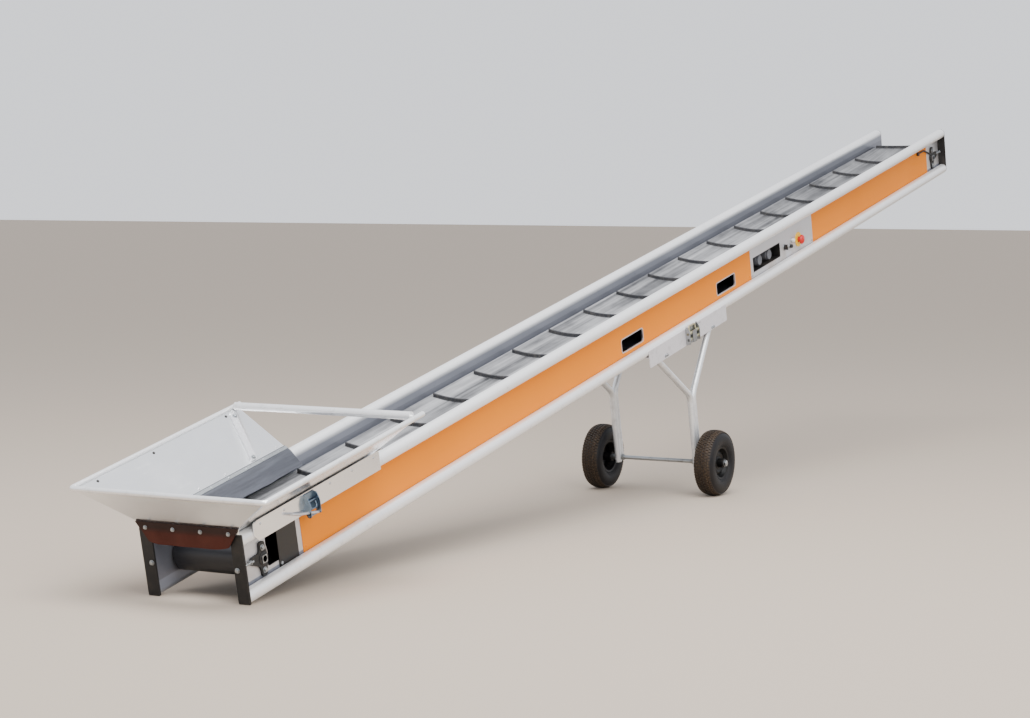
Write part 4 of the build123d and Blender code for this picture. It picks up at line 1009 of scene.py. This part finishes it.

# Painted shade: black rubber tubes stand for the shadow in the joints above the skirts.
joint_shade_strip = Shape()
for sign in (-1, 1):
    places = [STRIP_START + k * STRIP_PITCH for k in range(STRIP_STEPS + 1)]
    joint_shade_strip.tube([spot(s, sign * STRIP_PLACE[0], STRIP_PLACE[1]) for s in places], STRIP_RADIUS, sides=12)
joint_shade_strip.finish("skirt_strip", cable_rubber)

# Seals
# Two wide rubber sheets are clamped to the feet of the side plates by a riveted strap and lie down
# towards the belt, so that nothing falls beside it. Their free edges wave a little.
PLATE_REACH = 0.242
SEAL_RUN = (0.014, 0.752)
SEAL_TIP = (0.109, 0.1672)
SEAL_THICKNESS = 0.004
SEAL_OVERLAP = 0.026
SEAL_GAP = 0.0003
SEAL_WAVE = 0.0012
SEAL_SAG = 0.0016
SEAL_STEPS = 60
STRAP_INSET = 0.003
STRAP_WIDTH = 0.012
STRAP_THICKNESS = 0.0015
STRAP_RIVET = 0.0034
STRAP_RIVETS = 8
STRAP_RIVET_START = 0.054
STRAP_RIVET_PITCH = 0.094

paint = Paint("seal_rubber")
chalk = paint.noise(1.0, 6.0, 0.65, (4, 60, 60)).over(0.4, 0.75)
pores = paint.noise(700.0, 3.0)
seal_rubber = paint.finish(
    colour=(chalk * 0.4, (52, 54, 62), (106, 110, 120)),
    roughness=0.42 + chalk * 0.2 + pores * 0.08,
    relief=(pores * 0.6 + chalk * 0.4, 0.0003),
)
seals = Shape()
straps = Shape()
strap_rivets = []
seal_head = PLATE_REACH - SEAL_OVERLAP
strap_head = seal_head + STRAP_INSET
strap_lift = SEAL_GAP + SEAL_THICKNESS
for sign in (-1, 1):
    rings = []
    for k in range(SEAL_STEPS + 1):
        s = SEAL_RUN[0] + (SEAL_RUN[1] - SEAL_RUN[0]) * k / SEAL_STEPS
        head, normal = on_plate(s, seal_head, sign, SEAL_GAP)
        bend = on_plate(s, PLATE_REACH, sign, SEAL_GAP)[0]
        wave = SEAL_WAVE * (math.sin(s * 31) + 0.5 * math.sin(s * 73 + 1))
        tip = spot(s, sign * SEAL_TIP[0], SEAL_TIP[1]) + above * wave
        under = [head.lerp(bend, t) for t in (0, 0.5, 1)]
        under += [bend.lerp(tip, t) - above * (SEAL_SAG * t * (1 - t)) for t in (0.25, 0.5, 0.75, 1)]
        outward = along.cross((tip - bend).normalized()) * sign
        if outward.dot(above) < 0:
            outward = -outward
        upper = [p + (normal if i < 2 else outward) * SEAL_THICKNESS for i, p in enumerate(under)]
        rings.append(under + upper[::-1])
    seals.loft(rings)
    ends = [
        on_plate(s, strap_head + across, sign, strap_lift)[0]
        for s, across in (
            (SEAL_RUN[0], 0),
            (SEAL_RUN[0], STRAP_WIDTH),
            (SEAL_RUN[1], STRAP_WIDTH),
            (SEAL_RUN[1], 0),
        )
    ]
    straps.plate(softened(ends, reach=0.002, steps=3), normal * STRAP_THICKNESS)
    for k in range(STRAP_RIVETS):
        rivet_s = STRAP_RIVET_START + k * STRAP_RIVET_PITCH
        place = on_plate(rivet_s, strap_head + STRAP_WIDTH / 2, sign, strap_lift + STRAP_THICKNESS)[0]
        strap_rivets.append((place, normal, None))
seals.finish("seal_sheets", seal_rubber, replaces=["hopper_seals"], sharp=60.0)
straps.finish("seal_straps", zinc, bevel=0.0004)
set_out("strap_rivets", strap_rivets, dome, STRAP_RIVET, zinc)

# Front flap
# A red-brown rubber curtain hangs from the front plate's lip before the tail drum. A stiffer band
# and four bolts hold its top edge; its lower corners are cut away and its free edge waves.
FLAP_BACK = -0.0076
FLAP_THICKNESS = 0.0036
FLAP_TOP = 0.238
FLAP_TIP = 0.17
FLAP_HALVES = (0.186, 0.138)
FLAP_CORNER_RISE = 0.008
FLAP_WAVE = 0.0012
FLAP_COLUMNS = 48
FLAP_ROWS = 10
FLAP_FADE = (0.205, 0.222)
FLAP_BAND = 0.024
FLAP_BAND_THICKNESS = 0.002
FLAP_BOLT = 0.0068
FLAP_BOLT_HEIGHT = 0.221
FLAP_BOLT_PLACES = (-0.15, -0.05, 0.05, 0.15)

paint = Paint("red_rubber")
stain = paint.noise(14.0, 6.0, 0.65).over(0.35, 0.75)
pores = paint.noise(600.0, 3.0)
fade = paint.part(2).over(*FLAP_FADE)
stained = paint.blend(stain * 0.5, (70, 26, 9), (48, 19, 9))
red_rubber = paint.finish(
    colour=(fade * 0.85, stained, (34, 20, 15)),
    roughness=0.5 + stain * 0.2,
    Specular_IOR_Level=0.3,
    relief=(pores * 0.5 + stain * 0.5, 0.0004),
)


def flap_half(h):
    """Half of the flap's width at a height."""
    return FLAP_HALVES[1] + (FLAP_HALVES[0] - FLAP_HALVES[1]) * (h - FLAP_TIP) / (FLAP_TOP - FLAP_TIP)


flap = Shape()
rings = []
for k in range(FLAP_COLUMNS + 1):
    share = 2 * k / FLAP_COLUMNS - 1
    hang = FLAP_TIP + FLAP_CORNER_RISE * abs(share) ** 8
    back = []
    for row in range(FLAP_ROWS + 1):
        t = row / FLAP_ROWS
        h = FLAP_TOP + (hang - FLAP_TOP) * t
        lean = FLAP_WAVE * t**2 * (1 + math.sin(share * 9 + 0.6))
        back.append(spot(FLAP_BACK - lean, share * flap_half(h), h))
    rings.append(back + [point - along * FLAP_THICKNESS for point in reversed(back)])
flap.loft(rings)
flap.finish("rubber_flap", red_rubber, replaces=["front_flap"], sharp=60.0)

band = Shape()
band_back = FLAP_BACK - FLAP_THICKNESS
band_foot = FLAP_TOP - FLAP_BAND
foot_half = flap_half(band_foot)
top_half = flap_half(FLAP_TOP)
edges = ((-foot_half, band_foot), (foot_half, band_foot), (top_half, FLAP_TOP), (-top_half, FLAP_TOP))
outline = softened([spot(band_back, y, h) for y, h in edges], reach=0.003)
band.plate(outline, -along * FLAP_BAND_THICKNESS)
band.finish("flap_band", red_rubber, bevel=0.0005)
bolt_face = band_back - FLAP_BAND_THICKNESS
flap_bolts = [(spot(bolt_face, y, FLAP_BOLT_HEIGHT), -along, None) for y in FLAP_BOLT_PLACES]
set_out("flap_bolts", flap_bolts, hex_bolt, FLAP_BOLT, zinc)

# Hopper latches
# Blue-plated over-centre latches hold the hopper on the rails: a base with two cheeks, two pins
# between them, a wire bail hooked under the rail's edge, and a long rod lever.
LATCH_SPAN = (0.323, 0.379)
LATCH_HEIGHTS = (0.172, 0.2295)
LATCH_FACE = 0.1881
CHEEK_SHEET = 0.003
LATCH_CHEEK = (
    (0.0015, 0.2265),
    (0.0015, 0.172),
    (0.008, 0.158),
    (0.021, 0.158),
    (0.021, 0.1995),
    (0.011, 0.2265),
)
LATCH_PIN_OVERHANG = 0.002
LATCH_PIN_END = ((0, 0.0025), (0.001, 0.004), (0.002, 0.004), (0.002, 0.003))
LATCH_PINS = ((0.012, 0.162), (0.008, 0.205))
LATCH_BAIL = ((0.336, 0.011, 0.2), (0.336, 0.015, 0.182), (0.366, 0.015, 0.182), (0.366, 0.011, 0.2))
BAIL_RADIUS = 0.0024
LEVER_FOOT = (0.375, 0.012, 0.162)
LEVER_REACHES = (0.108, 0.147)
LEVER_TIP_LIFT = 0.004
LEVER_TURN = math.radians(14)
LEVER_RADIUS = 0.0045


def off_face(places, sign, face):
    """Points given along the frame, out from a face on one side, and above."""
    return [spot(s, sign * (face + lift), h) for s, lift, h in places]


def cheeked_base(shape, span, heights, cheek, sign, face):
    """Base plate on a face, with two cheeks that stand out from its ends."""
    shape.plate(box_outline(*span, *heights, sign * face, reach=0.004), sideways * sign * CHEEK_SHEET)
    for s in (span[0], span[1] - CHEEK_SHEET):
        outline = off_face([(s, lift, h) for lift, h in cheek], sign, face)
        shape.plate(softened(outline, reach=0.006, steps=5), along * CHEEK_SHEET)


def plated(name, bright, shaded, scale, metallic, gloss):
    """Zinc plating that clouds from one tone to another."""
    plating = Paint(name)
    cloud = plating.noise(scale, 5.0, 0.65)
    return plating.finish(
        colour=(cloud, bright, shaded),
        Metallic=metallic,
        roughness=gloss + cloud * 0.2,
        relief=(cloud, 0.0002),
    )


blue_zinc = plated("blue_zinc", (156, 172, 186), (84, 104, 126), scale=70.0, metallic=1.0, gloss=0.2)
latches = Shape()
levers = Shape()
lever_way = above * math.sin(LEVER_TURN) - along * math.cos(LEVER_TURN)
pin_profile = mirrored(LATCH_PIN_END, LATCH_SPAN[1] - LATCH_SPAN[0] + 2 * LATCH_PIN_OVERHANG)
for sign, out in SIDES:
    cheeked_base(latches, LATCH_SPAN, LATCH_HEIGHTS, LATCH_CHEEK, sign, LATCH_FACE)
    for lift, h in LATCH_PINS:
        pin_foot = spot(LATCH_SPAN[0] - LATCH_PIN_OVERHANG, sign * (LATCH_FACE + lift), h)
        latches.turned(pin_foot, along, pin_profile, sides=20)
    latches.tube(bent(off_face(LATCH_BAIL, sign, LATCH_FACE), radius=0.006, steps=6), BAIL_RADIUS, sides=14)
    foot = off_face([LEVER_FOOT], sign, LATCH_FACE)[0]
    knee, tip = (foot + lever_way * reach for reach in LEVER_REACHES)
    tip += above * LEVER_TIP_LIFT + out * LEVER_TIP_LIFT
    levers.tube(bent([foot, knee, tip], radius=0.05, steps=8), LEVER_RADIUS, sides=20)
latches.finish("latch_bodies", blue_zinc, bevel=0.0005, replaces=["hopper_latches"])
levers.finish("latch_levers", web_aluminium, bevel=0.001)

# Chassis plates and clamps
# Bent aluminium plates carry the legs and slide along the lower rails. Toggle clamps of zinc-plated
# and yellow-passivated steel grip the rails through them.
CHASSIS_SPAN = (2.651, 3.356)
CHASSIS_FACE = 0.1853
CHASSIS_SHEET = 0.0035
CHASSIS_HEIGHTS = (-0.041, 0.025)
CHASSIS_LEDGE = (0.1473, -0.0038)
CHASSIS_SLOT = (3.085, 3.113, 0.014, 0.0195)
CHASSIS_BOLT = 0.0062
CHASSIS_BOLT_PAIRS = ((2.792, -0.03), (3.221, -0.033))
CHASSIS_BOLT_SHIFT = 0.0085
CLAMP_SPAN = (2.972, 3.063)
CLAMP_FACE = 0.1891
CLAMP_CHEEK = ((0.001, -0.039), (0.019, -0.039), (0.019, 0.012), (0.008, 0.033), (0.001, 0.033))
CLAMP_PINS = ((2.972, 0.0105, -0.02), (2.972, 0.0105, 0.004))
CLAMP_PIN_END = ((0, 0.006), (0.004, 0.006), (0.004, 0.0052))
CLAMP_HOOK = ((2.99, 0.011, 0.002), (2.99, 0.0055, 0.0305), (3.045, 0.0055, 0.0305), (3.045, 0.011, 0.002))
CLAMP_HOOK_RADIUS = 0.003
CLAMP_HANDLE = (3.0, 3.035, -0.036, 0.012)
CLAMP_HANDLE_LIFT = 0.0155
CLAMP_HANDLE_SHEET = 0.0028

paint = Paint("chassis_aluminium")
wear = paint.noise(24.0, 7.0, 0.7).over(0.5, 0.78)
grain = paint.noise(1.0, 4.0, 0.6, (5, 300, 300))
chassis_aluminium = paint.finish(
    colour=(wear * 0.6, (226, 224, 228), (176, 172, 172)),
    Metallic=0.6,
    roughness=0.4 + grain * 0.12 + wear * 0.15,
    relief=(grain * 0.6 + wear * 0.4, 0.0003),
)
plates = Shape()
chassis_bolts = []
for sign, out in SIDES:
    face_y = sign * CHASSIS_FACE
    slot = box_outline(*CHASSIS_SLOT, face_y, reach=0.0027)
    outline = box_outline(*CHASSIS_SPAN, *CHASSIS_HEIGHTS, face_y, reach=0.004)
    plates.plate(outline, out * CHASSIS_SHEET, [slot])
    (start, end), (inner, ledge_h) = CHASSIS_SPAN, CHASSIS_LEDGE
    ledge = ((start, inner), (end, inner), (end, CHASSIS_FACE), (start, CHASSIS_FACE))
    plates.plate([spot(s, sign * y, ledge_h) for s, y in ledge], above * CHASSIS_SHEET)
    for s, h in CHASSIS_BOLT_PAIRS:
        for shift in (-CHASSIS_BOLT_SHIFT, CHASSIS_BOLT_SHIFT):
            chassis_bolts.append(fixing(s + shift, h, sign, CHASSIS_FACE + CHASSIS_SHEET))
plates.finish("chassis_sheets", chassis_aluminium, bevel=0.0005, replaces=["chassis_plates"])
set_out("chassis_bolts", chassis_bolts, hex_bolt, CHASSIS_BOLT, zinc)

yellow_zinc = plated("yellow_zinc", (206, 190, 140), (160, 168, 160), scale=60.0, metallic=0.85, gloss=0.3)
clamps = Shape()
hooks = Shape()
pin_profile = mirrored(CLAMP_PIN_END, CLAMP_SPAN[1] - CLAMP_SPAN[0])
for sign, out in SIDES:
    cheeked_base(clamps, CLAMP_SPAN, CHASSIS_HEIGHTS, CLAMP_CHEEK, sign, CLAMP_FACE)
    for pin_foot in off_face(CLAMP_PINS, sign, CLAMP_FACE):
        hooks.turned(pin_foot, along, pin_profile, sides=20)
    hook = bent(off_face(CLAMP_HOOK, sign, CLAMP_FACE), radius=0.008, steps=6)
    hooks.tube(hook, CLAMP_HOOK_RADIUS, sides=14)
    handle = box_outline(*CLAMP_HANDLE, sign * (CLAMP_FACE + CLAMP_HANDLE_LIFT), reach=0.006)
    clamps.plate(handle, out * CLAMP_HANDLE_SHEET)
clamps.finish("clamp_bodies", zinc, bevel=0.0006, replaces=["chassis_clamps"])
hooks.finish("clamp_hooks", yellow_zinc, bevel=0.0002)

# Legs
# Aluminium tubes, two to a side, stand together over the axle and part to both ends of the plate.
# Short weld beads join them at the fork.
LEG_Y = 0.1725
WELD_PLACE = 3.007
WELD_TOP = -0.258
WELD_BEADS = 36
WELD_PITCH = 0.0054
WELD_SHIFT = 0.0045
WELD_SIZE = 0.0034
WELD_BEAD = ((-0.5, 1.0), (0.3, 0.9), (0.6, 0.4))

paint = Paint("leg_aluminium")
handled = paint.noise(20.0, 7.0, 0.7).over(0.48, 0.8)
drawn = paint.noise(1.0, 3.0, 0.6, (500, 500, 4))
leg_aluminium = paint.finish(
    colour=(handled * 0.7, (228, 230, 232), (168, 168, 172)),
    Metallic=0.65,
    roughness=0.34 + drawn * 0.12 + handled * 0.2,
    relief=(handled * 0.7 + drawn * 0.3, 0.0004),
)
dress(leg_aluminium, "legs")
weld_bead = unit_fastener("weld_bead", WELD_BEAD, sides=8)
welds = []
for sign in (-1, 1):
    for face in (-1, 1):
        for k in range(WELD_BEADS):
            place = spot(WELD_PLACE, sign * LEG_Y + face * WELD_SHIFT, WELD_TOP - k * WELD_PITCH)
            welds.append((place, sideways * face, above))
set_out("leg_welds", welds, weld_bead, WELD_SIZE, leg_aluminium)

# Axle
# A bright steel rod through both legs and both wheels, with spacers between legs and wheels, and a
# washer and a hexagon nut inside each leg and outside each wheel.
AXLE_RADIUS = 0.008
AXLE_HALF = 0.3023
AXLE_END = ((-AXLE_HALF, 0.0068), (-AXLE_HALF + 0.0012, AXLE_RADIUS))
WHEEL_Y = 0.248
HUB_HALF = 0.044
LEG_OUTER = 0.185
LEG_INNER = 0.1595
PLAY = 0.0003
SPACER_RADIUS = 0.013
WASHER_THICKNESS = 0.0015
NUT_START = 0.0016
AXLE_NUT = ((0, 0.0118), (0.0008, 0.0128), (0.0062, 0.0128), (0.007, 0.0118), (0.007, AXLE_RADIUS))

axle_low, axle_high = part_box("axle")
axle_middle = (axle_low + axle_high) / 2
axle = Shape()
axle.turned(axle_middle, sideways, mirrored(AXLE_END))
spacer_length = WHEEL_Y - HUB_HALF - LEG_OUTER - 2 * PLAY
spacer = ((0, SPACER_RADIUS), (spacer_length, SPACER_RADIUS))
washer = ((0, SPACER_RADIUS), (WASHER_THICKNESS, SPACER_RADIUS))
for sign, out in SIDES:
    axle.turned(axle_middle + out * (LEG_OUTER + PLAY), out, spacer, sides=28)
    for start, way in ((WHEEL_Y + HUB_HALF + PLAY, 1), (LEG_INNER, -1)):
        axle.turned(axle_middle + out * start, out * way, washer, sides=28)
        axle.turned(axle_middle + out * (start + way * NUT_START), out * way, AXLE_NUT, sides=6)
axle.finish("axle_rod", zinc, bevel=0.0004, replaces=["axle"])

# Wheels
# Pneumatic tyres with smooth bulged sidewalls and a tread of small blocks in staggered rows, brown
# with dust. They sit on small pressed rims, with a hub right through them, both painted black.
SECTION_HALF_WIDTH = 0.041
SECTION_MIDDLE = 0.0925
SECTION_HALF_HEIGHT = 0.034
SECTION_SQUARENESS = 2.6
SECTION_STEPS = 18
BEAD_TURN = math.radians(-58)
TREAD_ROWS = (-0.0285, -0.0175, -0.0058, 0.0058, 0.0175, 0.0285)
BLOCKS_ROUND = 66
BLOCK_HALF = (0.0044, 0.0046)
BLOCK_LEVELS = ((-0.0012, 1.06), (0.0026, 0.96), (0.0035, 0.84))
BLOCK_SINK = 0.0002
RIM_UNDER_TYRE = ((0.0285, 0.0655), (0.0275, 0.0592), (0.0165, 0.0568), (0.0085, 0.0506))
RIM_IN_AIR = ((-0.0302, 0.0662), (-0.0315, 0.0645), (-0.03, 0.0575), (-0.018, 0.0543), (-0.0095, 0.0484))
RIM_DISH = [(0.012, 0.0515), (0.0165, 0.046), (0.02, 0.037)]
RIM_DISH += [(0.0165, 0.027), (0.019, 0.0215), (0.019, 0.0185)]
RIM_SHEET = 0.003
HUB_END = ((-HUB_HALF, 0.0085), (-HUB_HALF, 0.0165), (-HUB_HALF + 0.0015, 0.0178))


def tyre_section(turn):
    """Point of the tyre's section at a turn from its widest place: across and from the axle."""
    bow = 2 / SECTION_SQUARENESS
    across_it = SECTION_HALF_WIDTH * abs(math.cos(turn)) ** bow
    out_of_it = SECTION_HALF_HEIGHT * math.copysign(abs(math.sin(turn)) ** bow, math.sin(turn))
    return across_it, SECTION_MIDDLE + out_of_it


paint = Paint("tyre_rubber")
level = paint.node("ShaderNodeVectorMath", {"operation": "MULTIPLY"}, {0: paint.place, 1: (1, 0, 1)})
ends = {0: level, 1: (axle_middle.x, 0, axle_middle.z)}
reach = paint.node("ShaderNodeVectorMath", {"operation": "DISTANCE"}, ends, output=1)
mould_rings = paint.maths("SINE", reach * 2400.0)
side_rings = mould_rings * (reach.over(0.068, 0.07) - reach.over(0.078, 0.08))
dust = paint.noise(150.0, 6.0, 0.75).over(0.42, 0.66)
film = paint.noise(9.0, 5.0, 0.6).over(0.4, 0.8)
road = reach.over(0.116, 0.127)
grooves = road - reach.over(0.1272, 0.1288) * 0.6
brown = grooves * (0.14 + dust * 0.5) + film * 0.06
tyre_rubber = paint.finish(
    colour=(brown, (18, 19, 23), (104, 84, 62)),
    roughness=0.52 + brown * 0.3,
    Specular_IOR_Level=0.28,
    relief=(side_rings * 0.6 + dust * 0.3, 0.0005),
)
paint = Paint("rim_paint")
flow = paint.noise(40.0, 4.0)
grime = paint.noise(70.0, 6.0, 0.7).over(0.55, 0.8)
rim_paint = paint.finish(
    colour=(grime * 0.4, (13, 13, 14), (96, 82, 70)),
    roughness=0.42 + flow * 0.1 + grime * 0.3,
    Specular_IOR_Level=0.3,
    relief=(flow, 0.0002),
)

block = Shape()
rings = []
for height, share in BLOCK_LEVELS:
    a, b = (half * share for half in BLOCK_HALF)
    rings.append([Vector((x, y, height)) for x, y in ((-a, -b), (a, -b), (a, b), (-a, b))])
block.loft(rings)
tread_block = block.pattern("tread_block")

for side_name, sign in (("near", -1), ("far", 1)):
    body = f"wheel_{side_name}"
    out = sideways * sign
    centre = axle_middle + out * WHEEL_Y
    turns = [BEAD_TURN + (math.pi / 2 - BEAD_TURN) * k / SECTION_STEPS for k in range(SECTION_STEPS + 1)]
    half = [tyre_section(turn) for turn in turns]
    tyre = Shape()
    tyre.turned(centre, out, half + [(-y, r) for y, r in half[-2::-1]], sides=96, looped=True)
    tyre.finish(f"tyre_{side_name}_carcass", tyre_rubber, body, replaces=[f"tyre_{side_name}"])

    blocks = []
    for row, y in enumerate(TREAD_ROWS):
        share_out = (1 - abs(y / SECTION_HALF_WIDTH) ** SECTION_SQUARENESS) ** (1 / SECTION_SQUARENESS)
        lean = math.copysign(abs(y / SECTION_HALF_WIDTH) ** (SECTION_SQUARENESS - 1) / SECTION_HALF_WIDTH, y)
        rise = share_out ** (SECTION_SQUARENESS - 1) / SECTION_HALF_HEIGHT
        for k in range(BLOCKS_ROUND):
            turn = math.tau * (k + 0.5 * (row % 2)) / BLOCKS_ROUND
            spoke = Vector((math.cos(turn), 0, math.sin(turn)))
            tangent = Vector((-math.sin(turn), 0, math.cos(turn)))
            surface = centre + spoke * (SECTION_MIDDLE + SECTION_HALF_HEIGHT * share_out) + sideways * y
            blocks.append((surface - spoke * BLOCK_SINK, spoke * rise + sideways * lean, tangent))
    set_out(f"tyre_{side_name}_tread", blocks, tread_block, 1.0, tyre_rubber, body)

    rim = Shape()
    rim.turned(centre, out, mirrored(RIM_UNDER_TYRE) + mirrored(RIM_IN_AIR), sides=64, looped=True)
    dish_back = [(y - RIM_SHEET, r) for y, r in reversed(RIM_DISH)]
    rim.turned(centre, out, RIM_DISH + dish_back, sides=64, looped=True)
    rim.finish(f"rim_{side_name}_pressing", rim_paint, body, replaces=[f"rim_{side_name}"])

    hub = Shape()
    hub.turned(centre, out, mirrored(HUB_END), sides=48, looped=True)
    hub.finish(f"hub_{side_name}_tube", rim_paint, body)

# Floor, light and camera
# A plain pale floor under a large soft light from above and a weaker one from the near side. The
# camera stands where the photograph was taken from, with its lens.
FLOOR_HALF = 60.0
FLOOR_COLOUR = (0.42, 0.35, 0.28, 1)
SKY_COLOUR = (0.93, 0.95, 1.0, 1)
SKY_STRENGTH = 1.3
CAMERA_PLACE = Vector((-8.7394, -4.3955, 1.2164))
CAMERA_AZIMUTH = math.radians(-60.5306)
CAMERA_ELEVATION = math.radians(3.9473)
CAMERA_ROLL = math.radians(0.1006)
CAMERA_LENS = 87.43
SENSOR_WIDTH = 36.0

floor_mesh = bpy.data.meshes.new("studio_floor")
corners = [(x * FLOOR_HALF, y * FLOOR_HALF, 0) for x, y in ((-1, -1), (1, -1), (1, 1), (-1, 1))]
floor_mesh.from_pydata(corners, [], [(0, 1, 2, 3)])
floor = bpy.data.objects.new("studio_floor", floor_mesh)
bpy.context.scene.collection.objects.link(floor)
paint = Paint("pale_floor")
paint.feed(paint.shader, {"Base Color": FLOOR_COLOUR, "Roughness": 0.85})
floor_mesh.materials.append(paint.material)

world = bpy.data.worlds.new("studio")
bpy.context.scene.world = world
world.use_nodes = True
sky = world.node_tree.nodes["Background"].inputs
sky["Color"].default_value = SKY_COLOUR
sky["Strength"].default_value = SKY_STRENGTH

for name, where, aim, size, power in (
    ("overhead_light", (-2.5, -1.5, 6.0), (0, 0, 0), 6.0, 760.0),
    ("near_light", (-6.0, -7.0, 4.0), (-1, 0, 0.7), 4.0, 360.0),
):
    lamp = bpy.data.lights.new(name, "AREA")
    lamp.size = size
    lamp.energy = power
    fitting = bpy.data.objects.new(name, lamp)
    fitting.location = where
    fitting.rotation_mode = "QUATERNION"
    fitting.rotation_quaternion = (Vector(aim) - Vector(where)).to_track_quat("-Z", "Y")
    bpy.context.scene.collection.objects.link(fitting)

level = math.cos(CAMERA_ELEVATION)
behind_x = math.sin(CAMERA_AZIMUTH) * level
behind_y = -math.cos(CAMERA_AZIMUTH) * level
behind = Vector((behind_x, behind_y, math.sin(CAMERA_ELEVATION)))
flat_right = (-behind).cross(Vector((0, 0, 1))).normalized()
flat_up = behind.cross(flat_right)
right = flat_right * math.cos(CAMERA_ROLL) + flat_up * math.sin(CAMERA_ROLL)
up = flat_up * math.cos(CAMERA_ROLL) - flat_right * math.sin(CAMERA_ROLL)
camera = bpy.data.objects.new("camera", bpy.data.cameras.new("camera"))
camera.data.lens = CAMERA_LENS
camera.data.sensor_width = SENSOR_WIDTH
camera.matrix_world = Matrix.Translation(CAMERA_PLACE) @ Matrix((right, up, behind)).transposed().to_4x4()
bpy.context.scene.collection.objects.link(camera)
bpy.context.scene.camera = camera
